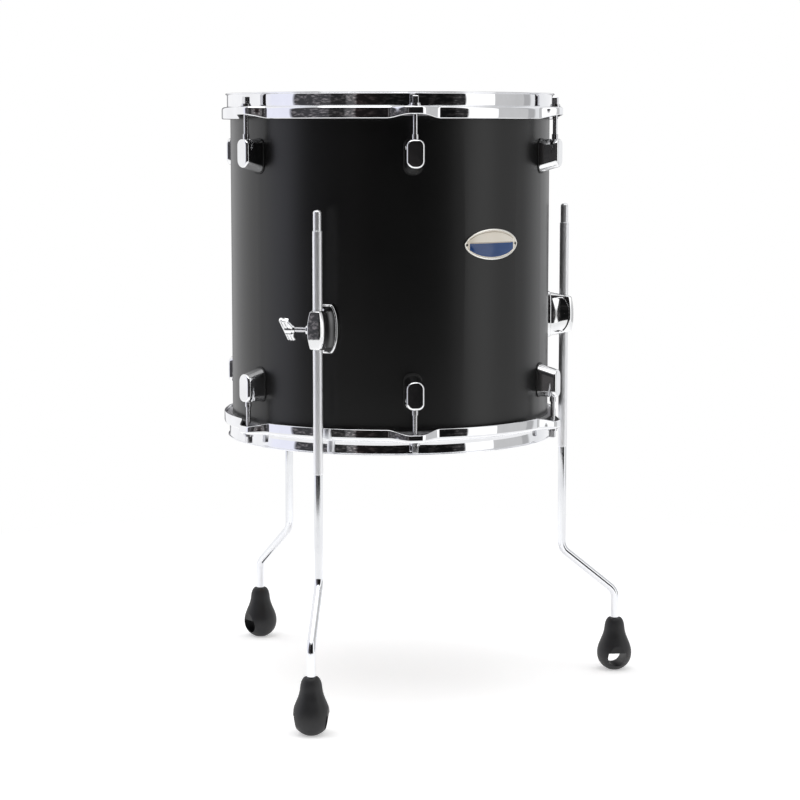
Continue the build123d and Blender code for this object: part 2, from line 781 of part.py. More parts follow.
def leg_bracket(name):
    """Cast bracket that holds a leg in a vertical bore and a wing bolt across it."""
    bearing = bracket_bearings[name]
    with BuildPart() as bracket:
        add(barrel_block(bearing, 0).part)
        cap = bracket.faces().sort_by(lambda face: face.center().dot(outward(bearing)))[-1]
        fillet(cap.edges(), bracket_edge_radius)
        add(side_panels(name).part, mode=Mode.SUBTRACT)
        with BuildSketch(bolt_plane(name, 0)):
            Circle(boss_radius)
        extrude(amount=boss_reach)
        with BuildSketch(Plane.XY):
            Circle(casting_seat_radius)
        extrude(amount=tall, mode=Mode.SUBTRACT)
        with BuildSketch(Plane(leg_point(name, 0))):
            Circle(leg_bore_radius)
        extrude(amount=tall, mode=Mode.SUBTRACT)
        with BuildSketch(bolt_plane(name, 0)):
            Circle(pad_radius + pad_clearance)
        extrude(amount=pad_bore_end, mode=Mode.SUBTRACT)
        with BuildSketch(bolt_plane(name, 0)):
            Circle(bolt_diameter / 2 + running_clearance)
        extrude(amount=boss_reach + cutter_margin, mode=Mode.SUBTRACT)
        for sign in (-1, 1):
            height = bracket_height + sign * bracket_screw_offset
            with BuildSketch(face_plane(bearing, shell_radius, height)):
                Circle(bracket_screw_diameter / 2 + screw_thread_clearance)
            extrude(amount=gasket_thickness + bracket_screw_grip + cutter_margin, mode=Mode.SUBTRACT)
    return bracket


gasket_growth = 2 * gasket_margin
with BuildPart() as bracket_gaskets:
    for bearing in bracket_bearings.values():
        with BuildSketch(face_plane(bearing, shell_inner_radius, bracket_height)):
            with BuildLine():
                barrel_outline(
                    bracket_base_width + gasket_growth,
                    bracket_base_height + gasket_growth,
                    bracket_base_flat + gasket_growth,
                )
            make_face()
            with Locations((0, bracket_screw_offset), (0, -bracket_screw_offset)):
                Circle(bracket_screw_diameter / 2 + screw_hole_clearance, mode=Mode.SUBTRACT)
        extrude(amount=shell_wall + gasket_thickness + cutter_margin)
    add(drum_ring(casting_seat_radius, shell_radius), mode=Mode.INTERSECT)
save(bracket_gaskets, "bracket_gaskets")
save(
    washers(
        bracket_screw_planes, bracket_washer_diameter, bracket_washer_thickness,
        bracket_screw_diameter + 2 * screw_hole_clearance,
    ),
    "bracket_screw_washers",
)
save(
    screws(
        bracket_screw_planes, bracket_screw_diameter, bracket_screw_grip, bracket_screw_head_diameter,
        bracket_screw_head_height, flat_seat(bracket_washer_diameter) - bracket_washer_thickness,
    ),
    "bracket_screws",
)


# ---- clamp pads and wing bolts ------------------------------------------------------
def clamp_pad(name):
    """Plug between the wing bolt and the leg, hollowed to the leg's curve."""
    with BuildPart() as pad:
        with BuildSketch(bolt_plane(name, pad_face - pad_lip)):
            Circle(pad_radius)
        extrude(amount=pad_thickness + pad_lip)
        with BuildSketch(Plane(leg_point(name, 0))):
            Circle(leg_knurl_diameter / 2 + pad_gap)
        extrude(amount=tall, mode=Mode.SUBTRACT)
    return pad


def wing_bolt(name):
    """Wing bolt: shank, flared hub and a cross bar with broad rounded ends."""
    wing_start = bolt_reach - wing_depth
    hub_start = wing_start - bolt_hub_length + bolt_hub_overlap
    wing_middle = bolt_plane(name, wing_start)
    with BuildPart() as bolt:
        with BuildSketch(bolt_plane(name, bolt_tip)):
            Circle(bolt_diameter / 2)
        extrude(amount=wing_start + bolt_hub_overlap - bolt_tip)
        with BuildSketch(bolt_plane(name, hub_start)):
            Circle(bolt_diameter / 2 + bolt_neck_margin)
        with BuildSketch(wing_middle):
            Circle(bolt_hub_radius)
        loft()
        with BuildSketch(wing_middle):
            Circle(bolt_hub_radius)
        extrude(amount=wing_depth / 2)
        with BuildSketch(Plane(origin=wing_middle.origin, x_dir=wing_middle.x_dir, z_dir=-wing_middle.y_dir)):
            with BuildLine():
                FilletPolyline(
                    (-wing_span / 2, 0), (0, wing_waist), (wing_span / 2, 0),
                    (wing_span / 2, wing_depth), (0, wing_depth - wing_waist), (-wing_span / 2, wing_depth),
                    radius=[wing_corner, wing_waist_radius, wing_corner] * 2,
                    close=True,
                )
            make_face()
        extrude(amount=wing_thickness / 2, both=True)
    return bolt


# ---- legs and feet ------------------------------------------------------------------
def leg_plane(name):
    """Upright plane of a leg's dog-leg: x in the direction of the bend, y up from the floor."""
    x_dir = outward(bend_bearings[name])
    return Plane(origin=leg_point(name, 0), x_dir=x_dir, z_dir=x_dir.cross(Vector(0, 0, 1)))


def leg(name):
    """Steel leg: turned tip, knurled grip, then a polished rod with its two bends."""
    shoulder_height = leg_top_height - leg_tip_length
    with BuildPart() as rod:
        with BuildLine(leg_plane(name)) as route:
            FilletPolyline(
                (0, knurl_end_height),
                (0, bend_upper_height),
                (dog_leg_step, bend_lower_height),
                (dog_leg_step, foot_bore_bottom),
                radius=bend_radius,
            )
        with BuildSketch(Plane(origin=route.line @ 0, z_dir=route.line % 0)):
            Circle(leg_polished_diameter / 2)
        sweep()
        with BuildSketch(Plane(leg_point(name, knurl_end_height))):
            Circle(leg_knurl_diameter / 2)
        extrude(amount=shoulder_height - knurl_end_height)
        chamfer(level_edges(rod, shoulder_height), leg_shoulder_chamfer)
        with BuildSketch(Plane(leg_point(name, shoulder_height))):
            Circle(leg_tip_diameter / 2)
        extrude(amount=leg_tip_length)
        fillet(level_edges(rod, leg_top_height), leg_tip_radius)
    return rod


def foot(name):
    """Pear-shaped rubber foot, flattened on two sides, with a D-shaped window through it."""
    plane = leg_plane(name)
    centre = plane.origin + plane.x_dir * dog_leg_step
    upright = Plane(origin=centre, x_dir=plane.x_dir, z_dir=plane.z_dir)
    seam = plane.x_dir.rotate(Axis.Z, foot_seam_turn)
    profile_plane = Plane(origin=centre, x_dir=seam, z_dir=seam.cross(Vector(0, 0, 1)))
    level = Plane(origin=centre, x_dir=plane.x_dir, z_dir=(0, 0, 1))
    sill = window_width / 2
    head = sill - window_draft
    shoulder = window_top - window_shoulder
    with BuildPart() as rubber:
        with BuildSketch(profile_plane):
            with BuildLine():
                Line((0, 0), (foot_sole_radius, 0))
                Spline(
                    (foot_sole_radius, 0),
                    (foot_belly_radius, foot_belly_height),
                    (foot_neck_radius, foot_height - foot_neck_length),
                    (foot_mouth_radius, foot_height),
                    tangents=[(1, 0.45), (0, 1), (-0.1, 1), (-1, 0.8)],
                )
                Line((foot_mouth_radius, foot_height), (0, foot_height))
                Line((0, foot_height), (0, 0))
            make_face()
        revolve(axis=Axis(centre, (0, 0, 1)))
        with BuildSketch(upright):
            with BuildLine():
                Line((-head, window_top), (head, window_top))
                Line((head, window_top), (sill, shoulder))
                ThreePointArc((sill, shoulder), (0, window_bottom), (-sill, shoulder))
                Line((-sill, shoulder), (-head, window_top))
            make_face()
        extrude(amount=foot_flat_width, both=True, mode=Mode.SUBTRACT)
        with BuildSketch(level.offset(foot_height)):
            Circle(leg_polished_diameter / 2 + foot_bore_clearance)
        extrude(amount=foot_bore_bottom - foot_height, mode=Mode.SUBTRACT)
        with BuildSketch(level):
            Rectangle(3 * foot_belly_radius, foot_flat_width)
        extrude(amount=foot_height, mode=Mode.INTERSECT)
    return rubber


for name in LEG_NAMES:
    save(leg_bracket(name), f"leg_bracket_{name}")
    save(clamp_pad(name), f"clamp_pad_{name}")
    save(wing_bolt(name), f"wing_bolt_{name}")
    save(leg(name), f"leg_{name}")
    save(foot(name), f"foot_{name}")
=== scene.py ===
"""Looks of a 14 x 14 inch floor tom on three bent legs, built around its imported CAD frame.

The drum's axis is the z axis and its badge faces -y. A bearing is an angle in degrees about
that axis, from the badge and growing towards +x. Lengths are in metres.
"""
import math

import bmesh
import bpy
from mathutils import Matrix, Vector


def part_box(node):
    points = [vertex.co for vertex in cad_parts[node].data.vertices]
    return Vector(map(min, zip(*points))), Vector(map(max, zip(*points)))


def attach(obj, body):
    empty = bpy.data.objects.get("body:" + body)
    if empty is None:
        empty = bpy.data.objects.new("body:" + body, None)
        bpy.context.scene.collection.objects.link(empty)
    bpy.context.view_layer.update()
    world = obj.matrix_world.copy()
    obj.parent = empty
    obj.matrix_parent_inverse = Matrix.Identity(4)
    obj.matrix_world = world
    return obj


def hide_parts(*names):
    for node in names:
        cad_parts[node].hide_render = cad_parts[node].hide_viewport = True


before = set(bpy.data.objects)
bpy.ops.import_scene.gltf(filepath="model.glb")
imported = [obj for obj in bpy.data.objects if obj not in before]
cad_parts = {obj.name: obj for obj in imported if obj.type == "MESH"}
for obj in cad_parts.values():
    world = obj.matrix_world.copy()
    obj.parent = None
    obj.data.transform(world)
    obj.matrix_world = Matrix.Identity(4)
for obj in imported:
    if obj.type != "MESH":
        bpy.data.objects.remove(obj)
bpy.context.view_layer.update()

mm = 0.001
WELD = 0.002 * mm
SIDES = ("left", "right", "rear")
LUG_BEARINGS = (-150, -90, -30, 30, 90, 150)
LEG_BEARINGS = {"left": -60, "right": 60, "rear": 180}

# sizes read from the frame
shell_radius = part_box("shell")[1].x
batter_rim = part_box("batter_hoop")[1].z
resonant_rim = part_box("resonant_hoop")[0].z
ear_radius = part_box("batter_hoop")[1].x
leg_end, leg_tip = (corner.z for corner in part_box("leg_left"))
bracket_low, bracket_high = (corner.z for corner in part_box("leg_bracket_left"))

# the knurled stretch of each leg
KNURL_LOW = 263.0 * mm
KNURL_HIGH = 519.5 * mm


# ------------------------ places and mesh helpers

def polar(radius, bearing, height):
    """The point at this distance from the drum's axis, at this bearing and height."""
    turn = math.radians(bearing)
    return Vector((radius * math.sin(turn), -radius * math.cos(turn), height))


def arc(centre, radius, start, end, steps):
    """Points (x, y) of an arc between two angles in degrees. radius is one number or two."""
    wide, high = radius if isinstance(radius, tuple) else (radius, radius)
    points = []
    for i in range(steps + 1):
        turn = math.radians(start + (end - start) * i / steps)
        points.append((centre[0] + wide * math.cos(turn), centre[1] + high * math.sin(turn)))
    return points


def smooth_step(value, low, high):
    """0 below low, 1 above high, and a smooth change between them."""
    share = min(1.0, max(0.0, (value - low) / (high - low)))
    return share * share * (3 - 2 * share)


def add_object(name, data):
    """A new object in the scene."""
    made = bpy.data.objects.new(name, data)
    bpy.context.scene.collection.objects.link(made)
    return made


def new_piece(name, vertices, faces, material, body, smooth_angle=35):
    """A piece made from points and faces, welded where points meet."""
    mesh = bpy.data.meshes.new(name)
    mesh.from_pydata([tuple(v) for v in vertices], [], faces)
    welded = bmesh.new()
    welded.from_mesh(mesh)
    bmesh.ops.remove_doubles(welded, verts=welded.verts, dist=WELD)
    bmesh.ops.recalc_face_normals(welded, faces=welded.faces)
    welded.to_mesh(mesh)
    welded.free()
    return finish_piece(name, mesh, material, body, smooth_angle)


def finish_piece(name, mesh, material, body, smooth_angle):
    """An object of this mesh that rides on a body and takes its finish from a slot."""
    mesh.materials.append(material)
    shade(mesh, smooth_angle)
    piece = add_object(name, mesh)
    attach(piece, body)
    return piece


def shade(mesh, smooth_angle):
    """Smooth shading, with edges sharper than this angle in degrees kept."""
    mesh.shade_smooth()
    mesh.set_sharp_from_angle(angle=math.radians(smooth_angle))


def ring_points(centre, axis, radius, steps):
    """Evenly spaced points of a circle about an axis."""
    first = axis.orthogonal().normalized()
    second = axis.cross(first).normalized()
    points = []
    for i in range(steps):
        turn = 2 * math.pi * i / steps
        points.append(centre + (first * math.cos(turn) + second * math.sin(turn)) * radius)
    return points


def ring_faces(rows, columns, rows_close=False, columns_close=True):
    """Quads between rows of points, each row with the same number of columns."""
    faces = []
    last_row = rows if rows_close else rows - 1
    last_column = columns if columns_close else columns - 1
    for i in range(last_row):
        for j in range(last_column):
            i_next, j_next = (i + 1) % rows, (j + 1) % columns
            faces.append((i * columns + j, i * columns + j_next,
                          i_next * columns + j_next, i_next * columns + j))
    return faces


def end_faces(rows, columns):
    """The two faces that close a tube of rings of points."""
    first = tuple(range(columns))[::-1]
    last = tuple(range((rows - 1) * columns, rows * columns))
    return [first, last]


# ------------------------ materials

class Nodes:
    """A node tree while it is put together. Its textures are drawn at self.place."""

    def __init__(self, tree):
        self.tree = tree
        self.place = None

    def node(self, kind, **settings):
        made = self.tree.nodes.new(kind)
        for key, value in settings.items():
            setattr(made, key, value)
        return made

    def feed(self, value, socket):
        """Gives a socket an output of another node, a number or a colour."""
        if isinstance(value, tuple):
            socket.default_value = (*value, 1)
        elif isinstance(value, (int, float)):
            socket.default_value = value
        else:
            self.tree.links.new(value, socket)

    def stretched(self, stretch):
        """The place, scaled by three factors, so that a texture is drawn out."""
        mapping = self.node("ShaderNodeMapping")
        mapping.inputs["Scale"].default_value = stretch
        self.feed(self.place, mapping.inputs["Vector"])
        return mapping.outputs["Vector"]

    def noise(self, scale, detail=2.0, roughness=0.5, stretch=None, distortion=0.0):
        texture = self.node("ShaderNodeTexNoise")
        place = self.stretched(stretch) if stretch else self.place
        for socket, value in (("Scale", scale), ("Detail", detail), ("Roughness", roughness),
                              ("Distortion", distortion), ("Vector", place)):
            self.feed(value, texture.inputs[socket])
        return texture.outputs["Fac"]

    def spots(self, scale):
        texture = self.node("ShaderNodeTexVoronoi")
        texture.inputs["Scale"].default_value = scale
        self.feed(self.place, texture.inputs["Vector"])
        return texture.outputs["Distance"]

    def spread(self, value, low, high, low_result=0, high_result=1):
        """value from low..high to low_result..high_result, held at the ends."""
        ranged = self.node("ShaderNodeMapRange")
        self.feed(value, ranged.inputs["Value"])
        for socket, number in zip(("From Min", "From Max", "To Min", "To Max"),
                                  (low, high, low_result, high_result)):
            self.feed(number, ranged.inputs[socket])
        return ranged.outputs["Result"]

    def maths(self, operation, first, second):
        made = self.node("ShaderNodeMath", operation=operation)
        self.feed(first, made.inputs[0])
        self.feed(second, made.inputs[1])
        return made.outputs[0]

    def blend(self, share, first, second, blend_type="MIX"):
        """The colour first where share is 0 and second where it is 1."""
        made = self.node("ShaderNodeMix", data_type="RGBA", blend_type=blend_type)
        self.feed(share, made.inputs["Factor"])
        self.feed(first, made.inputs[6])
        self.feed(second, made.inputs[7])
        return made.outputs[2]

    def blend_value(self, share, first, second):
        """The number first where share is 0 and second where it is 1."""
        made = self.node("ShaderNodeMix", data_type="FLOAT")
        self.feed(share, made.inputs["Factor"])
        self.feed(first, made.inputs[2])
        self.feed(second, made.inputs[3])
        return made.outputs[0]

    def split(self, vector):
        """The x, y and z of a vector."""
        parts = self.node("ShaderNodeSeparateXYZ")
        self.feed(vector, parts.inputs[0])
        return parts.outputs

    def blend_shaders(self, share, first, second):
        made = self.node("ShaderNodeMixShader")
        for value, socket in zip((share, first, second), made.inputs):
            self.feed(value, socket)
        return made.outputs[0]


class Recipe(Nodes):
    """One node material while it is put together. Its textures use the place on the object."""

    def __init__(self, name):
        self.material = bpy.data.materials.new(name)
        self.material.use_nodes = True
        super().__init__(self.material.node_tree)
        self.shader = self.tree.nodes["Principled BSDF"]
        self.place = self.node("ShaderNodeTexCoord").outputs["Object"]

    def set(self, **values):
        """Uniform numbers on the shader's own sockets."""
        for key, value in values.items():
            self.shader.inputs[key.replace("_", " ")].default_value = value

    def colour(self, output):
        self.feed(output, self.shader.inputs["Base Color"])

    def roughness(self, output):
        self.feed(output, self.shader.inputs["Roughness"])

    def bump(self, height, depth, strength, before=None):
        """Relief of this depth in metres, on top of an earlier bump."""
        made = self.node("ShaderNodeBump")
        made.inputs["Strength"].default_value = strength
        made.inputs["Distance"].default_value = depth
        self.feed(height, made.inputs["Height"])
        if before is not None:
            self.feed(before, made.inputs["Normal"])
        self.feed(made.outputs["Normal"], self.shader.inputs["Normal"])
        return made.outputs["Normal"]

    def height(self):
        """The height above the floor at rest."""
        return self.split(self.place)["Z"]

    def from_axis(self):
        """The distance from the drum's axis."""
        parts = self.split(self.place)
        flat = self.node("ShaderNodeCombineXYZ")
        self.feed(parts["X"], flat.inputs["X"])
        self.feed(parts["Y"], flat.inputs["Y"])
        length = self.node("ShaderNodeVectorMath", operation="LENGTH")
        self.feed(flat.outputs[0], length.inputs[0])
        return length.outputs["Value"]


def chrome(name, tint, roughness, wave_depth, wave_scale):
    """Plated metal: a mirror with fine polishing marks, faint smears and a slightly wavy skin."""
    made = Recipe(name)
    made.set(Metallic=1.0)
    smears = made.noise(38, detail=5, roughness=0.62)
    marks = made.noise(900, detail=3, stretch=(1, 1, 9))
    dark = tuple(c * 0.93 for c in tint)
    made.colour(made.blend(made.spread(smears, 0.35, 0.7), tint, dark))
    haze = made.spread(smears, 0.45, 0.75, roughness, roughness + 0.03)
    made.roughness(made.maths("ADD", haze, made.spread(marks, 0.5, 0.8, 0.0, 0.025)))
    waves = made.bump(made.noise(wave_scale, detail=1.0), wave_depth, strength=0.35)
    made.bump(marks, 0.002 * mm, strength=0.2, before=waves)
    return made.material


def shell_lacquer():
    """Satin black lacquer outside, and oiled maple ply on the bearing edges and inside."""
    made = Recipe("shell_lacquer")
    inside = made.spread(made.from_axis(), shell_radius - 0.9 * mm, shell_radius - 0.5 * mm, 1, 0)

    cloud = made.noise(9, detail=3)
    black = made.blend(made.spread(cloud, 0.3, 0.7), (0.0014, 0.0014, 0.0016),
                       (0.0024, 0.0023, 0.0024))
    grain = made.noise(26, detail=7, roughness=0.62, stretch=(5, 5, 0.5), distortion=0.35)
    fibre = made.noise(260, detail=4, stretch=(4, 4, 0.35))
    pale = made.blend(made.spread(grain, 0.35, 0.65), (0.60, 0.41, 0.235), (0.76, 0.57, 0.36))
    wood = made.blend(made.spread(fibre, 0.48, 0.75, 0, 0.55), pale, (0.47, 0.29, 0.155))
    made.colour(made.blend(inside, black, wood))

    peel = made.noise(760, detail=2)
    satin = made.maths("ADD", made.spread(cloud, 0.3, 0.7, 0.315, 0.345),
                       made.spread(peel, 0.35, 0.7, -0.012, 0.018))
    oiled = made.spread(fibre, 0.3, 0.7, 0.44, 0.62)
    made.roughness(made.blend_value(inside, satin, oiled))
    made.set(IOR=1.5)
    relief = made.blend_value(inside, made.maths("MULTIPLY", peel, 0.35), fibre)
    made.bump(relief, 0.02 * mm, strength=0.3)
    return made.material


def leg_steel():
    """Plated steel rod: satin where it is knurled, above the bracket's reach, polished below. The
    knurled stretch gets a lighter base colour than the polished steel, which is painted light.
    """
    made = Recipe("leg_steel")
    made.set(Metallic=1.0)
    upper = made.spread(made.height(), KNURL_LOW - 1 * mm, KNURL_LOW + 1 * mm)
    smears = made.noise(30, detail=5, roughness=0.6)
    marks = made.noise(700, detail=3, stretch=(6, 6, 0.5))
    # painted light: the knurled stretch takes a lighter tint of the same steel, to brighten the
    # knurl
    made.colour(made.blend(upper, made.blend(made.spread(smears, 0.35, 0.7),
                                             (0.86, 0.87, 0.89), (0.80, 0.81, 0.84)),
                           (0.94, 0.945, 0.96)))
    mirror = made.maths("ADD", made.spread(smears, 0.4, 0.75, 0.06, 0.1),
                        made.spread(marks, 0.45, 0.8, 0.0, 0.05))
    satin = made.spread(marks, 0.3, 0.7, 0.34, 0.46)
    made.roughness(made.blend_value(upper, mirror, satin))
    made.bump(marks, 0.004 * mm, strength=0.3)
    return made.material


def brushed(name, tint, roughness, stretch):
    """Turned or rolled metal with a fine directional grain."""
    made = Recipe(name)
    made.set(Metallic=1.0)
    streaks = made.noise(420, detail=4, stretch=stretch)
    smears = made.noise(45, detail=4)
    dark = tuple(c * 0.8 for c in tint)
    made.colour(made.blend(made.spread(smears, 0.3, 0.75), tint, dark))
    made.roughness(made.maths("ADD", made.spread(streaks, 0.3, 0.7, roughness, roughness + 0.12),
                              made.spread(smears, 0.4, 0.8, 0, 0.08)))
    made.bump(streaks, 0.01 * mm, strength=0.4)
    return made.material


def rubber(name, tint, roughness, grain_depth):
    """Moulded rubber with a fine skin and a faint bloom."""
    made = Recipe(name)
    bloom = made.noise(70, detail=6, roughness=0.65)
    skin = made.noise(2400, detail=3)
    pits = made.spots(1500)
    lighter = tuple(c * 1.7 + 0.002 for c in tint)
    made.colour(made.blend(made.spread(bloom, 0.38, 0.78), tint, lighter))
    made.roughness(made.maths("ADD", made.spread(bloom, 0.35, 0.75, roughness, roughness + 0.13),
                              made.spread(skin, 0.3, 0.7, -0.04, 0.05)))
    made.set(IOR=1.5)
    first = made.bump(skin, grain_depth, strength=0.45)
    made.bump(pits, grain_depth * 0.6, strength=0.25, before=first)
    return made.material


def coated_film():
    """White sprayed coating on polyester film: fine grit, and light that comes through."""
    made = Recipe("coated_film")
    grit = made.noise(1900, detail=4, roughness=0.7)
    cloud = made.noise(14, detail=4)
    made.colour(made.blend(made.spread(cloud, 0.3, 0.7), (0.84, 0.84, 0.82), (0.90, 0.90, 0.88)))
    made.roughness(made.spread(grit, 0.3, 0.7, 0.55, 0.8))
    made.set(IOR=1.5)
    made.bump(grit, 0.05 * mm, strength=0.5)
    return made.material


def clear_film():
    """Clear polyester film with a faint haze."""
    made = Recipe("clear_film")
    haze = made.noise(22, detail=5, roughness=0.6)
    wipe = made.noise(240, detail=3, stretch=(1, 5, 1))
    made.colour(made.blend(made.spread(haze, 0.4, 0.8), (0.97, 0.98, 0.99), (0.90, 0.92, 0.93)))
    made.roughness(made.maths("ADD", made.spread(haze, 0.4, 0.8, 0.03, 0.09),
                              made.spread(wipe, 0.5, 0.8, 0, 0.03)))
    made.set(IOR=1.15, Transmission_Weight=0.96)
    made.bump(haze, 0.05 * mm, strength=0.1)
    return made.material


def enamel(name, tint, other, roughness=0.14, mottle=18):
    """A glossy printed field whose colour drifts between two tints."""
    made = Recipe(name)
    drift = made.noise(mottle, detail=2)
    fleck = made.noise(1800, detail=3)
    made.colour(made.blend(made.spread(drift, 0.36, 0.64), tint, other))
    made.roughness(made.spread(fleck, 0.3, 0.7, roughness, roughness + 0.08))
    made.set(IOR=1.5, Coat_Weight=0.35, Coat_Roughness=0.08)
    made.bump(fleck, 0.006 * mm, strength=0.25)
    return made.material


MATERIALS = {
    "shell_lacquer": shell_lacquer(),
    "chrome": chrome("chrome", (0.88, 0.885, 0.90), 0.045, 0.02 * mm, 60),
    "hoop_chrome": chrome("hoop_chrome", (0.88, 0.885, 0.905), 0.018, 0.02 * mm, 34),
    "cast_chrome": chrome("cast_chrome", (0.875, 0.88, 0.89), 0.055, 0.05 * mm, 110),
    "wing_chrome": chrome("wing_chrome", (0.875, 0.88, 0.89), 0.06, 0.06 * mm, 130),
    "steel_hardware": brushed("steel_hardware", (0.80, 0.80, 0.82), 0.12, (1, 1, 0.2)),
    "leg_steel": leg_steel(),
    "zinc_steel": brushed("zinc_steel", (0.66, 0.68, 0.70), 0.27, (1, 1, 1)),
    "pad_brass": brushed("pad_brass", (0.72, 0.52, 0.22), 0.25, (1, 1, 1)),
    "head_ring_aluminium": brushed("head_ring_aluminium", (0.78, 0.78, 0.79), 0.28, (1, 1, 7)),
    "coated_film": coated_film(),
    "clear_film": clear_film(),
    "gasket_rubber": rubber("gasket_rubber", (0.010, 0.010, 0.010), 0.55, 0.02 * mm),
    "foot_rubber": rubber("foot_rubber", (0.0085, 0.0085, 0.0095), 0.46, 0.035 * mm),
    "badge_enamel": enamel("badge_enamel", (0.95, 0.87, 0.74), (0.97, 0.92, 0.82)),
}
LUG_ROUNDING = 0.6 * mm
badge_silver = chrome("badge_silver", (0.90, 0.88, 0.83), 0.24, 0.01 * mm, 300)
pin_black = enamel("pin_black", (0.012, 0.011, 0.010), (0.03, 0.028, 0.025), roughness=0.3)


def finish_cad_nodes():
    """Every CAD node that stays in view gets the material of its own slot."""
    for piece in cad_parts.values():
        for slot in piece.material_slots:
            slot.material = MATERIALS[slot.material.name.split(".")[0]]
    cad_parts["badge_pins"].material_slots[0].material = pin_black


def round_lugs():
    """The lugs' sharp edges get the small radius that a mould leaves."""
    for node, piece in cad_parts.items():
        if node.startswith(("batter_lug", "resonant_lug")):
            weld = piece.modifiers.new("weld", "WELD")
            weld.merge_threshold = WELD
            bevel = piece.modifiers.new("round", "BEVEL")
            bevel.width = LUG_ROUNDING
            bevel.segments = 3
            bevel.limit_method = "ANGLE"
            bevel.angle_limit = math.radians(40)
            bevel.harden_normals = False
            normals = piece.modifiers.new("normals", "WEIGHTED_NORMAL")
            normals.keep_sharp = False


# ------------------------ hoops

SHEET = 2.3 * mm
HOOP_WALL_INNER = 179.0 * mm
HOOP_LIP_RADIUS = 183.0 * mm
HOOP_LOWER_RADIUS = 187.2 * mm
HOOP_HEIGHT = 28.2 * mm
LIP_HEIGHT = 1.6 * mm
LEDGE_DEPTH = 15.0 * mm
EAR_EDGE_DEPTH = 23.7 * mm
EAR_FLAT = 1.3                  # degrees either side of an ear's middle
EAR_ROOT = 8.8
ROD_CIRCLE = 193.5 * mm
ROD_HOLE = 3.7 * mm
SHEET_BEND = 0.9 * mm           # radius inside the sheet's bends
EAR_BEND = 0.2 * mm
THICKEST = 1.7                  # most that an ear's flank thickens the section


def hoop_section(outer, edge_depth, thickness, bend):
    """The pressed sheet's closed outline as (radius, height below the rim), at one bearing.

    outer is the lower wall's radius there, thickness its radial thickness, which grows on the
    flanks of an ear, and bend the radius inside its bends.
    """
    wall_inner = HOOP_WALL_INNER
    wall_outer = wall_inner + SHEET
    lip = LIP_HEIGHT / 2
    stretch = thickness / SHEET
    corner = (bend + SHEET) * stretch
    rounding = thickness / 2
    ledge = -LEDGE_DEPTH
    below = ledge - SHEET
    knee = ledge - bend - SHEET
    points = arc((wall_inner + lip, -lip), lip, 180, 90, 3)
    points += arc((HOOP_LIP_RADIUS - lip, -lip), lip, 90, -90, 6)
    points += arc((wall_outer + lip, -3 * lip), lip, 90, 180, 3)
    points += arc((wall_outer + bend, ledge + bend), bend, 180, 270, 4)
    points += arc((outer - corner, knee), (corner, bend + SHEET), 90, 0, 6)
    points += arc((outer - rounding, rounding - edge_depth), rounding, 0, -180, 6)
    points += arc((outer - corner, knee), (bend * stretch, bend), 0, 90, 3)
    points += arc((wall_outer + bend, below + bend + SHEET), bend + SHEET, 270, 180, 6)
    return points


def ear_offset(bearing):
    """Degrees from the nearest ear's middle."""
    return min(abs((bearing - lug + 180) % 360 - 180) for lug in LUG_BEARINGS)


def ear_share(bearing):
    """1 on an ear's flat tip, 0 away from the ears, and a smooth flank between."""
    return 1 - smooth_step(ear_offset(bearing), EAR_FLAT, EAR_ROOT)


def lower_wall(bearing):
    """The lower wall's outer radius at a bearing: a circle, with a flat-tipped ear per rod."""
    tip = ear_radius / math.cos(math.radians(min(ear_offset(bearing), EAR_FLAT)))
    return HOOP_LOWER_RADIUS + (tip - HOOP_LOWER_RADIUS) * ear_share(bearing)


def hoop_bearings():
    """Close together over the ears, further apart between them."""
    fine, coarse = 0.35, 1.6
    bearings = []
    bearing = 0.0
    while bearing < 360:
        bearings.append(bearing)
        near_ear = ear_offset(bearing) < EAR_ROOT + coarse
        bearing += fine if near_ear else coarse
    return bearings


def make_hoop(head, rim, up):
    """A triple-flanged hoop. up is 1 for the batter hoop, whose lip is its top, and -1 below."""
    bearings = hoop_bearings()
    vertices = []
    for bearing in bearings:
        outer = lower_wall(bearing)
        rise = lower_wall(bearing + 0.1) - lower_wall(bearing - 0.1)
        slope = rise / math.radians(0.2) / outer
        thickness = SHEET * min(THICKEST, math.sqrt(1 + slope * slope))
        share = ear_share(bearing)
        edge = HOOP_HEIGHT + (EAR_EDGE_DEPTH - HOOP_HEIGHT) * share
        bend = SHEET_BEND + (EAR_BEND - SHEET_BEND) * share
        for radius, drop in hoop_section(outer, edge, thickness, bend):
            vertices.append(polar(radius, bearing, rim + up * drop))
    columns = len(vertices) // len(bearings)
    faces = ring_faces(len(bearings), columns, rows_close=True)
    hoop = new_piece(f"{head}_hoop_sheet", vertices, faces, MATERIALS["hoop_chrome"],
                     "drum", smooth_angle=50)
    cut_rod_holes(hoop, rim - up * LEDGE_DEPTH)
    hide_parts(f"{head}_hoop")


def cut_rod_holes(hoop, height):
    """The six holes in the ledge that the tension rods pass through."""
    up = Vector((0, 0, 1))
    reach = 4 * SHEET
    steps = 40
    cutter = bmesh.new()
    for bearing in LUG_BEARINGS:
        centre = polar(ROD_CIRCLE, bearing, height)
        rings = []
        for end in (centre - up * reach, centre + up * reach):
            points = ring_points(end, up, ROD_HOLE, steps)
            rings.append([cutter.verts.new(point) for point in points])
        cutter.faces.new(rings[0])
        cutter.faces.new(rings[1][::-1])
        for i in range(steps):
            j = (i + 1) % steps
            cutter.faces.new((rings[0][j], rings[0][i], rings[1][i], rings[1][j]))
    bmesh.ops.recalc_face_normals(cutter, faces=cutter.faces)
    mesh = bpy.data.meshes.new("rod_hole_cutter")
    cutter.to_mesh(mesh)
    cutter.free()
    cut_with(hoop, mesh, 50)


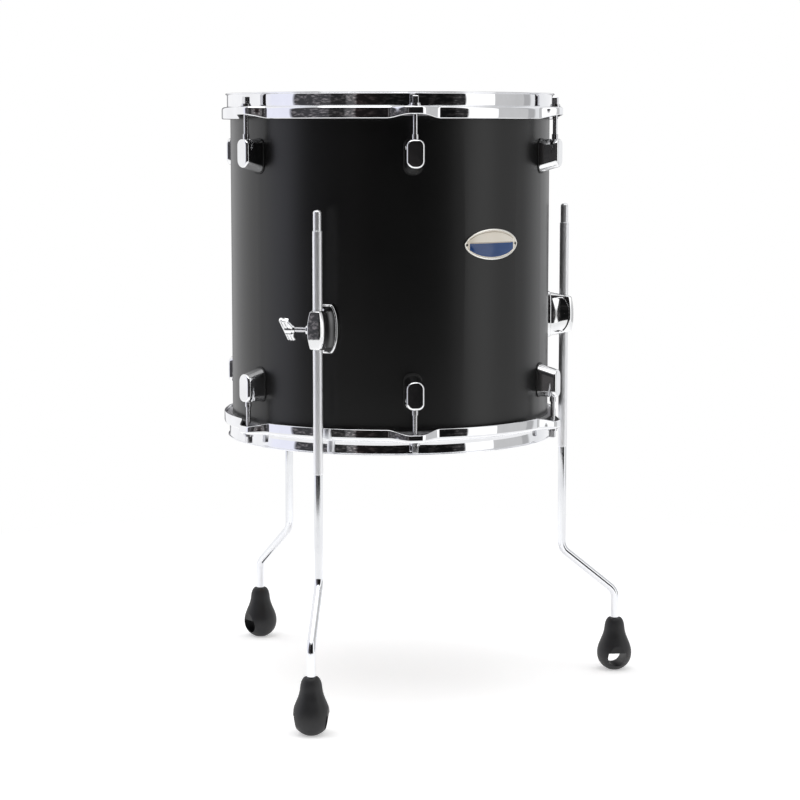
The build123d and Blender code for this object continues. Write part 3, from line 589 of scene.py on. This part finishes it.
def cut_with(piece, cutter_mesh, smooth_angle):
    """Cuts a closed mesh out of the piece."""
    cutter = add_object("cutter", cutter_mesh)
    boolean = piece.modifiers.new("cut", "BOOLEAN")
    boolean.object = cutter
    boolean.solver = "EXACT"
    shaped = bpy.data.meshes.new_from_object(
        piece.evaluated_get(bpy.context.evaluated_depsgraph_get()))
    piece.modifiers.clear()
    piece.data = shaped
    shade(shaped, smooth_angle)
    bpy.data.objects.remove(cutter)


# ------------------------ legs

LEG_CIRCLE = 199.7 * mm
KNURL_RADIUS = 5.2 * mm
TIP_RADIUS = 4.4 * mm
POLISHED_RADIUS = 4.8 * mm
UPPER_BEND = 144.4 * mm
LOWER_BEND = 92.3 * mm
BEND_RADIUS = 17.0 * mm
KNURL_COUNT = 24
KNURL_DEPTH = 0.10 * mm


def leg_path(side):
    """The leg's centre line from the bottom up: straight, two bends, and straight again."""
    low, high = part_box(f"foot_{side}")
    foot = (low + high) / 2
    axis = polar(LEG_CIRCLE, LEG_BEARINGS[side], 0)
    corners = [Vector((foot.x, foot.y, leg_end)), Vector((foot.x, foot.y, LOWER_BEND)),
               Vector((axis.x, axis.y, UPPER_BEND)), Vector((axis.x, axis.y, KNURL_LOW))]
    steps = 12
    points = [corners[0]]
    for before, corner, after in zip(corners, corners[1:], corners[2:]):
        back, ahead = (before - corner).normalized(), (after - corner).normalized()
        half = back.angle(ahead) / 2
        middle = corner + (back + ahead).normalized() * BEND_RADIUS / math.sin(half)
        start = (corner + back * BEND_RADIUS / math.tan(half) - middle).normalized()
        end = (corner + ahead * BEND_RADIUS / math.tan(half) - middle).normalized()
        for i in range(steps + 1):
            points.append(middle + start.slerp(end, i / steps) * BEND_RADIUS)
    return points


def make_leg(side):
    """A steel rod: polished and bent below, with a pyramid knurl and a narrower tip above."""
    axis = polar(LEG_CIRCLE, LEG_BEARINGS[side], 0)
    columns = 2 * KNURL_COUNT
    path = leg_path(side)
    vertices = []
    up = Vector((0, 0, 1))
    first = (path[-2] - path[0]).cross(up).normalized()

    def add_ring(centre, tangent, radius, offsets=None):
        second = tangent.cross(first).normalized()
        for i in range(columns):
            turn = 2 * math.pi * i / columns
            reach = radius - (offsets[i] if offsets else 0)
            across = first * math.cos(turn) + second * math.sin(turn)
            vertices.append(centre + across * reach)

    for x, y in arc((POLISHED_RADIUS - 0.8 * mm, 0.8 * mm), 0.8 * mm, -90, 0, 3):
        add_ring(path[0] + up * y, up, x)
    for i in range(1, len(path)):
        after = path[min(i + 1, len(path) - 1)]
        add_ring(path[i], (after - path[i - 1]).normalized(), POLISHED_RADIUS)
    chamfer = KNURL_RADIUS - POLISHED_RADIUS
    add_ring(axis + up * KNURL_LOW, up, POLISHED_RADIUS)
    row_height = math.pi * KNURL_RADIUS / KNURL_COUNT * math.sqrt(3)
    rows = int((KNURL_HIGH - KNURL_LOW - 2 * chamfer) / row_height)
    row_height = (KNURL_HIGH - KNURL_LOW - 2 * chamfer) / rows
    plain_rings = len(vertices) // columns
    for row in range(rows + 1):
        offsets = [KNURL_DEPTH * ((row + i) % 2) for i in range(columns)]
        if row in (0, rows):
            offsets = [KNURL_DEPTH] * columns
        add_ring(axis + up * (KNURL_LOW + chamfer + row * row_height), up, KNURL_RADIUS, offsets)
    for radius, height in tip_profile():
        add_ring(axis + up * height, up, radius)
    rings = len(vertices) // columns
    faces = []
    for i in range(rings - 1):
        knurled = plain_rings <= i < plain_rings + rows
        for j in range(columns):
            k = (j + 1) % columns
            a, b = i * columns + j, i * columns + k
            c, d = a + columns, b + columns
            pit_first = (i - plain_rings + j) % 2 == 1
            if not knurled:
                faces.append((a, b, d, c))
            elif pit_first:
                faces += [(a, b, d), (a, d, c)]
            else:
                faces += [(a, b, c), (b, d, c)]
    faces += end_faces(rings, columns)
    leg = new_piece(f"leg_rod_{side}", vertices, faces, MATERIALS["leg_steel"],
                    f"leg_{side}", smooth_angle=24)
    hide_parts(f"leg_{side}")


def tip_profile():
    """(radius, height) of the shoulder above the knurl and of the rounded narrow tip."""
    shoulder = 0.7 * mm
    rounding = 3.2 * mm
    profile = [(KNURL_RADIUS - shoulder / 2, KNURL_HIGH - shoulder / 2), (TIP_RADIUS, KNURL_HIGH)]
    middle = leg_tip - rounding
    profile += arc((TIP_RADIUS - rounding, middle), rounding, 0, 84, 8)
    return profile


# ------------------------ leg brackets

BRACKET_HEIGHT = (bracket_low + bracket_high) / 2
BRACKET_HALF = (bracket_high - bracket_low) / 2
BRACKET_START = 1.0 * mm
BRACKET_FRONT = 32.2 * mm
FLANGE_THICK = 5.2 * mm
WING_SIDES = {"left": -1, "right": 1, "rear": -1}
BORE_RADIUS = 5.45 * mm
BORE_MOUTH = 1.4 * mm           # how much the leg's bore widens at its ends
PAD_BORE = 3.9 * mm
PAD_BORE_END = 7.4 * mm
BOLT_BORE = 3.15 * mm
BOSS_RADIUS = 5.5 * mm
BOSS_START = 7.0 * mm
BOSS_END = 12.2 * mm


class Place:
    """A right-handed set of axes on the shell: out of it, around it and up."""

    def __init__(self, bearing, radius, height):
        self.origin = polar(radius, bearing, height)
        self.out = polar(1, bearing, 0)
        self.around = polar(1, bearing + 90, 0)
        self.up = Vector((0, 0, 1))

    def at(self, out, around, up):
        return self.origin + self.out * out + self.around * around + self.up * up


def barrel_outline(half_width, half_height, half_flat, power):
    """A closed outline with flat ends and bowed sides, and slightly rounded corners."""
    side_steps, end_steps, smoothing = 60, 16, 4
    points = []
    for turn in (1, -1):
        for i in range(side_steps):
            z = turn * half_height * (2 * i / side_steps - 1)
            bow = 1 - abs(z / half_height) ** power
            points.append((turn * (half_flat + (half_width - half_flat) * bow), z))
        for i in range(end_steps):
            x = turn * half_flat * (1 - 2 * i / end_steps)
            points.append((x, turn * half_height))
    for _ in range(smoothing):
        near = list(zip(points[-1:] + points[:-1], points, points[1:] + points[:1]))
        points = [tuple((p[k] + 2 * q[k] + r[k]) / 4 for k in (0, 1)) for p, q, r in near]
    return points


def side_recess(out, z):
    """Depth of the D-shaped panel in the bracket's flanks: steep at its front, gentle behind."""
    depth, steep, gentle = 1.4 * mm, 1.0 * mm, 12.5 * mm
    straight, reach, half = 18.6 * mm, 8.8 * mm, 19.6 * mm
    if abs(z) >= half:
        return 0.0
    front = straight + reach * math.sqrt(1 - (z / half) ** 2)
    inside = min(front - out, half - abs(z))
    return depth * smooth_step(inside, 0, steep) * smooth_step(out - FLANGE_THICK, 0, gentle)


def bracket_rows():
    """((half width, half height, half flat, how square the bow is), distance from the shell)."""
    flange_bow, front_bow = 3.0, 2.1
    flange = (14.5 * mm, BRACKET_HALF, 8.6 * mm)
    edge = 1.4 * mm
    rows = [((*flange, flange_bow), BRACKET_START)]
    for x, y in arc((-edge, FLANGE_THICK - edge), edge, 0, 90, 6):
        rows.append(((flange[0] + x, flange[1] + x, flange[2] + x / 2, flange_bow), y))
    foot = rows[-1][0]
    shoulder = (9.9 * mm, 20.8 * mm, 6.3 * mm, front_bow)
    shoulder_out = 28.0 * mm
    steps = 50
    for i in range(1, steps + 1):
        share = i / steps
        size = [f + (c - f) * share for f, c in zip(foot, shoulder)]
        rows.append((tuple(size), FLANGE_THICK + (shoulder_out - FLANGE_THICK) * share))
    front = (7.7 * mm, 20.0 * mm, 5.4 * mm)
    rounding = 0.9 * mm
    bevel_out = BRACKET_FRONT - rounding
    for share, along in ((0.08, 0.14), (0.3, 0.4), (0.6, 0.7), (0.85, 0.95), (0.93, 0.99)):
        size = [f + (c - f) * share for f, c in zip(shoulder, front)]
        rows.append(((*size, front_bow), shoulder_out + (bevel_out - shoulder_out) * along))
    for x, y in arc((-rounding, bevel_out), rounding, 30, 90, 4):
        rows.append(((front[0] + x + 0.1 * mm, front[1] + x, front[2] + x / 2, front_bow), y))
    last = rows[-1][0][:3]
    for share in (0.92, 0.75, 0.6, 0.45, 0.3, 0.15, 0.05):
        rows.append(((*(value * share for value in last), front_bow), BRACKET_FRONT))
    return rows


def make_bracket(side):
    """A cast bracket that tapers from a flange on the shell to a bowed front."""
    bearing = LEG_BEARINGS[side]
    place = Place(bearing, shell_radius, BRACKET_HEIGHT)
    height_radius = 90 * mm
    width_radius = 110 * mm
    vertices = []
    rows = bracket_rows()
    for size, out in rows:
        share = max(0.0, (out - FLANGE_THICK) / (BRACKET_FRONT - FLANGE_THICK))
        for x, z in barrel_outline(*size):
            sunk = side_recess(out, z) if abs(x) > size[2] * 1.02 else 0.0
            bowed = out - share * (z * z / height_radius + x * x / width_radius) / 2
            bowed -= (1 - share) * x * x / (2 * shell_radius)
            vertices.append(place.at(bowed, x - math.copysign(sunk, x), z))
    columns = len(vertices) // len(rows)
    faces = ring_faces(len(rows), columns) + end_faces(len(rows), columns)
    bracket = new_piece(f"bracket_cast_{side}", vertices, faces, MATERIALS["cast_chrome"],
                        "drum", smooth_angle=60)
    leg = polar(LEG_CIRCLE, bearing, BRACKET_HEIGHT)
    wide = BORE_RADIUS + BORE_MOUTH
    profile = [(wide, -26 * mm), (wide, -20.6 * mm), (BORE_RADIUS, -19.2 * mm),
               (BORE_RADIUS, 19.2 * mm), (wide, 20.6 * mm), (wide, 26 * mm)]
    bore = lathe_mesh(profile, leg, place.up, 48)
    cut_with(bracket, bore, 60)
    toward = place.around * WING_SIDES[side]
    profile = [(PAD_BORE, 0), (PAD_BORE, PAD_BORE_END), (BOLT_BORE, PAD_BORE_END),
               (BOLT_BORE, BOSS_END + 0.8 * mm)]
    cross_bore = lathe_mesh(profile, leg, toward, 40)
    cut_with(bracket, cross_bore, 60)
    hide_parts(f"leg_bracket_{side}")

    # the threaded boss that the wing bolt goes into
    edge = 0.8 * mm
    profile = [(BOLT_BORE, BOSS_START), (BOSS_RADIUS, BOSS_START), (BOSS_RADIUS, BOSS_END - edge)]
    profile += arc((BOSS_RADIUS - edge, BOSS_END - edge), edge, 0, 90, 4)[1:]
    profile += [(BOLT_BORE + 0.45 * mm, BOSS_END), (BOLT_BORE, BOSS_END - 0.4 * mm)]
    mesh = lathe_mesh(profile, leg, toward, 40, closed=True)
    boss = finish_piece(f"bracket_boss_{side}", mesh, MATERIALS["cast_chrome"], "drum",
                        35)
    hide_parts(f"leg_bracket_{side}")


def lathe_mesh(profile, origin, axis, steps, closed=False):
    """A turned mesh from (radius, distance along the axis) points, with capped ends unless
    the profile closes on itself."""
    made = bmesh.new()
    rings = []
    for radius, along in profile:
        points = ring_points(origin + axis * along, axis, radius, steps)
        rings.append([made.verts.new(point) for point in points])
    pairs = list(zip(rings, rings[1:]))
    if closed:
        pairs.append((rings[-1], rings[0]))
    for low, high in pairs:
        for i in range(steps):
            j = (i + 1) % steps
            made.faces.new((low[i], low[j], high[j], high[i]))
    if not closed:
        made.faces.new(rings[0][::-1])
        made.faces.new(rings[-1])
    bmesh.ops.recalc_face_normals(made, faces=made.faces)
    mesh = bpy.data.meshes.new("turned")
    made.to_mesh(mesh)
    made.free()
    return mesh


# ------------------------ wing bolts

WING_TILTS = {"left": 45, "right": 7, "rear": 45}
BOLT_RADIUS = 3.0 * mm
THREAD_PITCH = 1.0 * mm
THREAD_DEPTH = 0.5 * mm
BOLT_START = 7.6 * mm
WING_START = 29.0 * mm
WING_DEPTH = 10.5 * mm
WING_HALF_SPAN = 15.8 * mm
WING_MIDDLE_DEPTH = 13.0 * mm
WING_MIDDLE_THICKNESS = 5.4 * mm
WING_END_THICKNESS = 6.2 * mm
GROOVES = (3.4 * mm, 6.9 * mm)  # from the wing's outer edge
GROOVE_DEPTH = 0.7 * mm


def wing_section(thickness, depth):
    """One slice across the wing as (along the bolt, thickness way): rounded, with two grooves."""
    rounding = thickness * 0.42
    half = thickness / 2
    points = []
    for turn in (1, -1):
        near, far = (0, depth) if turn > 0 else (depth, 0)
        corner = near + turn * rounding
        points += arc((corner, turn * (half - rounding)), rounding,
                      180 if turn > 0 else 0, 90 if turn > 0 else -90, 5)
        steps = 30
        for i in range(1, steps):
            share = i / steps
            x = corner + (far - turn * rounding - corner) * share
            from_groove = min(abs(depth - x - groove) for groove in GROOVES)
            sunk = GROOVE_DEPTH * (1 - smooth_step(from_groove, 0.25 * mm, 1.0 * mm))
            points.append((x, turn * (half - sunk)))
        corner = far - turn * rounding
        points += arc((corner, turn * (half - rounding)), rounding,
                      90 if turn > 0 else -90, 0 if turn > 0 else -180, 5)[:-1]
    return points


def make_wing_bolt(side):
    """A threaded shank, a flared hub and a grooved wing with blunt ends."""
    bearing = LEG_BEARINGS[side]
    place = Place(bearing, LEG_CIRCLE, BRACKET_HEIGHT)
    axis = place.around * WING_SIDES[side]
    tilt = math.radians(WING_TILTS[side])
    span = place.up * math.cos(tilt) + place.out * math.sin(tilt)
    thick = axis.cross(span)
    body = f"wing_bolt_{side}"

    stations = 40
    end_round = 1.1 * mm
    thickening = WING_END_THICKNESS - WING_MIDDLE_THICKNESS
    vertices = []
    for i in range(stations + 1):
        v = -WING_HALF_SPAN + 2 * WING_HALF_SPAN * i / stations
        share = abs(v) / WING_HALF_SPAN
        to_end = WING_HALF_SPAN - abs(v)
        shrink = 1.0
        if to_end < end_round:
            shrink = 0.72 + 0.28 * math.sqrt(max(0.0, 1 - (1 - to_end / end_round) ** 2))
        thickness = (WING_MIDDLE_THICKNESS + thickening * share * share) * shrink
        waist = (WING_MIDDLE_DEPTH - WING_DEPTH) * smooth_step(share, 0.1, 0.75)
        depth = (WING_MIDDLE_DEPTH - waist) * shrink
        start = WING_START + WING_DEPTH - depth - (1 - shrink) * 1.2 * mm
        for along, across in wing_section(thickness, depth):
            vertices.append(place.origin + axis * (start + along) + thick * across + span * v)
    columns = len(vertices) // (stations + 1)
    faces = ring_faces(stations + 1, columns) + end_faces(stations + 1, columns)
    wing = new_piece(f"wing_{side}", vertices, faces, MATERIALS["wing_chrome"], body,
                     smooth_angle=55)
    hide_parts(body)

    # the hub, from inside the wing to a collar on the shank
    profile = [(0.4 * mm, WING_START + 8 * mm), (5.2 * mm, WING_START + 7 * mm),
               (5.4 * mm, WING_START + 3 * mm)]
    profile += arc((4.2 * mm, WING_START + 1.2 * mm), 1.2 * mm, 20, -60, 5)
    profile += [(4.0 * mm, WING_START - 0.8 * mm), (4.6 * mm, WING_START - 1.4 * mm),
                (4.6 * mm, WING_START - 2.6 * mm), (3.9 * mm, WING_START - 3.4 * mm),
                (0.4 * mm, WING_START - 3.4 * mm)]
    mesh = lathe_mesh(profile, place.origin, axis, 40)
    hub = finish_piece(f"wing_hub_{side}", mesh, MATERIALS["wing_chrome"], body, 30)
    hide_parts(body)
    make_thread(f"wing_thread_{side}", place.origin, axis, body)


def make_thread(name, origin, axis, body):
    """The bolt's shank as one helix with a 60 degree thread, which runs out into the hub."""
    first = axis.orthogonal().normalized()
    second = axis.cross(first).normalized()
    around = 28
    # one thread as (share of the pitch, how far it falls in)
    profile = ((0.0, 0), (0.18, 0), (0.46, THREAD_DEPTH), (0.62, THREAD_DEPTH), (0.9, 0))
    length = WING_START - 3 * mm - BOLT_START
    turns = int(length / THREAD_PITCH)
    vertices = []
    rows = turns * around + 1
    for i in range(rows):
        turn = 2 * math.pi * i / around
        across = first * math.cos(turn) + second * math.sin(turn)
        for along, fall in profile:
            run = BOLT_START + (i / around + along) * THREAD_PITCH
            vertices.append(origin + axis * run + across * (BOLT_RADIUS - fall))
    columns = len(profile)
    faces = []
    for i in range(rows - 1):
        for j in range(columns - 1):
            a = i * columns + j
            faces.append((a, a + 1, a + 1 + columns, a + columns))
        if i + around < rows - 1:
            a, b = i * columns + columns - 1, (i + around) * columns
            faces.append((a, b, b + columns, a + columns))
    # the plain core inside, with a slightly narrower point
    core = len(vertices)
    core_radius = BOLT_RADIUS - 1.1 * mm
    for along in (BOLT_START - 1.2 * mm, BOLT_START + 0.2 * mm, WING_START - 3.2 * mm):
        radius = core_radius + (0.1 * mm if along > BOLT_START else 0)
        vertices += ring_points(origin + axis * along, axis, radius, around)
    for ring in range(2):
        for i in range(around):
            j = (i + 1) % around
            a = core + ring * around
            faces.append((a + i, a + j, a + around + j, a + around + i))
    faces.append(tuple(core + i for i in range(around)))
    thread = new_piece(name, vertices, faces, MATERIALS["steel_hardware"], body,
                       smooth_angle=40)
    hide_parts(body)


# ------------------------ badge

BADGE_HEIGHT = 33 * mm
BADGE_BORDER = 1.8 * mm
PLATE = 1.0 * mm
RAISED = 0.5 * mm
PRINT = 0.15 * mm
OVAL_POWER = 0.57               # 0.5 is an ellipse, and more draws the ends to points

badge_low, badge_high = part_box("badge")
badge_height = (badge_low.z + badge_high.z) / 2
badge_reach = shell_radius * math.asin(badge_high.x / (shell_radius + PLATE))


def oval(inset, turn=1):
    """The height of the badge's outline at x, inset from its edge: above, or below for -1."""
    def height(x):
        share = min(1.0, abs(x) / (badge_reach - inset))
        return turn * (BADGE_HEIGHT / 2 - inset) * (1 - share * share) ** OVAL_POWER
    return height


def level(height):
    """A straight edge."""
    return lambda x: height


def on_shell(x, z, lift):
    """A point of the badge: x along the shell's curve, z above the badge's middle."""
    return polar(shell_radius + lift, math.degrees(x / shell_radius), badge_height + z)


def badge_field(name, low_edge, high_edge, reach, lift, material, edge=0.12 * mm):
    """A printed field between two edges, as a thin slab with rounded sides."""
    columns = 72
    layers = [(0.0, 0.0), (0.0, lift - edge), (edge * 0.3, lift - edge * 0.3), (edge, lift)]
    vertices = []
    for i in range(columns + 1):
        x = -reach + 2 * reach * i / columns
        low, high = low_edge(x), high_edge(x)
        inset_room = max(0.0, (high - low) / 2)
        for inset, height in layers:
            vertices.append(on_shell(x, low + min(inset, inset_room), height))
        for inset, height in reversed(layers):
            vertices.append(on_shell(x, high - min(inset, inset_room), height))
    around = 2 * len(layers)
    faces = ring_faces(columns + 1, around) + end_faces(columns + 1, around)
    piece = new_piece(name, vertices, faces, material, "drum")
    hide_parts("badge")


def make_badge():
    """An oval plate with a raised silver border, a cream upper field and a blue lower one."""
    cream = MATERIALS["badge_enamel"]
    line = enamel("badge_line", (0.34, 0.27, 0.17), (0.45, 0.37, 0.25), roughness=0.2)
    blue = enamel("badge_blue", (0.010, 0.052, 0.19), (0.014, 0.066, 0.22), mottle=30)

    # the border is an upper and a lower half, which meet at the ends
    rounding = 0.5 * mm
    raised = PLATE + RAISED
    badge_field("badge_border_upper", oval(BADGE_BORDER), oval(0), badge_reach, raised,
                badge_silver, rounding)
    badge_field("badge_border_lower", oval(0, -1), oval(BADGE_BORDER, -1), badge_reach, raised,
                badge_silver, rounding)
    badge_field("badge_cream", oval(BADGE_BORDER, -1), oval(BADGE_BORDER),
                badge_reach - BADGE_BORDER, PLATE, cream)

    split = 1.3 * mm
    blue_inset = 3.0 * mm
    blue_reach = badge_reach - 6.4 * mm
    badge_field("badge_blue", oval(blue_inset, -1), level(split), blue_reach, PLATE + PRINT, blue)
    line_inset = BADGE_BORDER + 1.3 * mm
    line_width = 0.45 * mm
    lines = (("badge_top_line", oval(line_inset + line_width), oval(line_inset)),
             ("badge_middle_line", level(split + 0.5 * mm), level(split + 0.9 * mm)))
    for name, low, high in lines:
        badge_field(name, low, high, blue_reach - 0.5 * mm, PLATE + 0.12 * mm, line, 0.05 * mm)


# ------------------------ stage, light and camera

CAMERA_PLACE = Vector((-1.530, -1.978, 0.6232))
CAMERA_AIM = Vector((-0.003, -0.022, 0.322))
LENS = 100
SENSOR = 36


def make_camera():
    """A long lens in front of the drum and to its left, a little below its upper rim."""
    data = bpy.data.cameras.new("camera")
    data.lens = LENS
    data.sensor_width = SENSOR
    data.clip_start = 0.05
    data.clip_end = 100
    camera = add_object("camera", data)
    camera.location = CAMERA_PLACE
    camera.rotation_mode = "QUATERNION"
    camera.rotation_quaternion = (CAMERA_AIM - CAMERA_PLACE).to_track_quat("-Z", "Y")
    bpy.context.scene.camera = camera


def make_studio():
    """A bright studio: white walls, one dark side with a room in it, and a light overhead."""
    world = bpy.data.worlds.new("studio")
    bpy.context.scene.world = world
    world.use_nodes = True
    made = Nodes(world.node_tree)
    made.tree.nodes.clear()

    # brightness by the angle about the vertical, from the camera's side
    facing = math.atan2(CAMERA_PLACE.y, CAMERA_PLACE.x)
    turned = made.node("ShaderNodeVectorRotate", rotation_type="Z_AXIS")
    made.feed(-facing, turned.inputs["Angle"])
    made.feed(made.node("ShaderNodeTexCoord").outputs["Generated"], turned.inputs["Vector"])
    made.place = turned.outputs[0]
    toward = made.split(made.place)
    angle = made.maths("ARCTAN2", toward["Y"], toward["X"])
    ramp = made.node("ShaderNodeValToRGB")
    made.feed(made.spread(angle, -math.pi, math.pi), ramp.inputs["Fac"])
    paint_walls(ramp.color_ramp)
    plain = ramp.outputs["Color"]

    # the dark parts of the room are mottled, with a few lighter things in them
    things = made.node("ShaderNodeValToRGB")
    tones = ((0.5, (0.55, 0.55, 0.57, 1)), (0.66, (3.0, 2.8, 2.8, 1)))
    for element, (position, colour) in zip(things.color_ramp.elements, tones):
        element.position = position
        element.color = colour
    made.feed(made.noise(11.0, detail=6.0, roughness=0.7), things.inputs["Fac"])
    room = made.blend(1.0, plain, things.outputs["Color"], "MULTIPLY")
    walls = made.blend(made.spread(plain, 0.2, 0.3), room, plain)

    # the ceiling is white above about fifty degrees
    ceiling = made.spread(toward["Z"], math.sin(math.radians(44)), math.sin(math.radians(56)))
    lit = made.node("ShaderNodeBackground")
    made.feed(made.blend(ceiling, walls, (1.0, 1.0, 1.0)), lit.inputs["Color"])
    seen = made.node("ShaderNodeBackground")
    made.feed((1.0, 1.0, 1.0), seen.inputs["Color"])
    path = made.node("ShaderNodeLightPath")
    mixed = made.blend_shaders(path.outputs["Is Camera Ray"], lit.outputs[0], seen.outputs[0])
    made.feed(mixed, made.node("ShaderNodeOutputWorld").inputs["Surface"])


def paint_walls(ramp):
    """Brightness of the studio's walls by the angle from the camera's side, in degrees."""
    white = (1.02, 1.02, 1.03)
    cold = (0.93, 0.94, 1.06)
    panels = [(-180, (0.16, 0.16, 0.17)), (-168, (0.2, 0.2, 0.21)), (-160, white), (-100, white),
              (-90, cold), (-71, cold), (-70, (0.09, 0.09, 0.095)), (-42, (0.10, 0.10, 0.105)),
              (-41, (0.04, 0.04, 0.04)), (-30, (0.04, 0.04, 0.04)), (-29.5, (0.19, 0.19, 0.19)),
              (-24, (0.15, 0.145, 0.145)), (-23.5, (0.025, 0.02, 0.02)), (0, (0.011, 0.011, 0.011)),
              (44, (0.011, 0.011, 0.011)), (46, (0.04, 0.04, 0.04)), (53.5, (0.04, 0.04, 0.04)),
              (54.2, (1.3, 1.3, 1.3)), (77.4, (1.3, 1.3, 1.3)), (78, (0.62, 0.62, 0.62)),
              (107, (0.60, 0.60, 0.60)), (108, (0.45, 0.45, 0.455)), (115, (0.45, 0.45, 0.455)),
              (117, (0.85, 0.86, 0.87)), (160, white), (168, (0.2, 0.2, 0.21)),
              (180, (0.16, 0.16, 0.17))]
    elements = ramp.elements
    while len(elements) < len(panels):
        elements.new(0.5)
    for element, (angle, colour) in zip(elements, panels):
        element.position = (angle + 180) / 360
        element.color = (*colour, 1)


def make_floor():
    """A pale floor that fades into the white walls. From underneath it isn't seen."""
    radius = 1.6
    rings, columns = 24, 72
    vertices = []
    for i in range(rings + 1):
        for j in range(columns):
            vertices.append(polar(radius * i / rings + 0.001, 360 * j / columns, 0))
    mesh = bpy.data.meshes.new("floor")
    mesh.from_pydata([tuple(v) for v in vertices], [], ring_faces(rings + 1, columns))
    mesh.polygons.foreach_set("use_smooth", [True] * len(mesh.polygons))
    floor = add_object("floor", mesh)

    made = Recipe("floor_paper")
    paper = made.node("ShaderNodeBsdfDiffuse")
    fibre = made.noise(300, detail=4)
    made.feed(made.blend(fibre, (0.90, 0.90, 0.90), (0.93, 0.93, 0.93)), paper.inputs["Color"])
    glow = made.node("ShaderNodeEmission")
    glow.inputs["Color"].default_value = (1, 1, 1, 1)
    glow.inputs["Strength"].default_value = 0.42
    lit = made.node("ShaderNodeAddShader")
    made.feed(paper.outputs[0], lit.inputs[0])
    made.feed(glow.outputs[0], lit.inputs[1])
    white = made.node("ShaderNodeEmission")
    white.inputs["Color"].default_value = (1, 1, 1, 1)
    far = made.spread(made.from_axis(), 0.55, 1.1)
    faded = made.blend_shaders(far, lit.outputs[0], white.outputs[0])
    under = made.node("ShaderNodeNewGeometry").outputs["Backfacing"]
    clear = made.node("ShaderNodeBsdfTransparent")
    sided = made.blend_shaders(under, faded, clear.outputs[0])
    made.feed(sided, made.tree.nodes["Material Output"].inputs["Surface"])
    mesh.materials.append(made.material)
    if mesh.polygons[0].normal.z < 0:
        mesh.flip_normals()


def make_softbox():
    """A large soft light overhead, which models the hoops and draws faint shadows."""
    data = bpy.data.lights.new("softbox", "AREA")
    data.shape = "SQUARE"
    data.size = 1.7
    data.energy = 11
    softbox = add_object("softbox", data)
    softbox.location = (-0.5, -0.3, 2.3)
    softbox.rotation_mode = "QUATERNION"
    aim = Vector((0, 0, 0.4)) - softbox.location
    softbox.rotation_quaternion = aim.to_track_quat("-Z", "Y")


# ------------------------ put together

bpy.context.scene.view_settings.view_transform = "Standard"
make_camera()
make_studio()
make_floor()
make_softbox()
finish_cad_nodes()
round_lugs()
make_hoop("batter", batter_rim, 1)
make_hoop("resonant", resonant_rim, -1)
for side in SIDES:
    make_leg(side)
    make_bracket(side)
    make_wing_bolt(side)
make_badge()
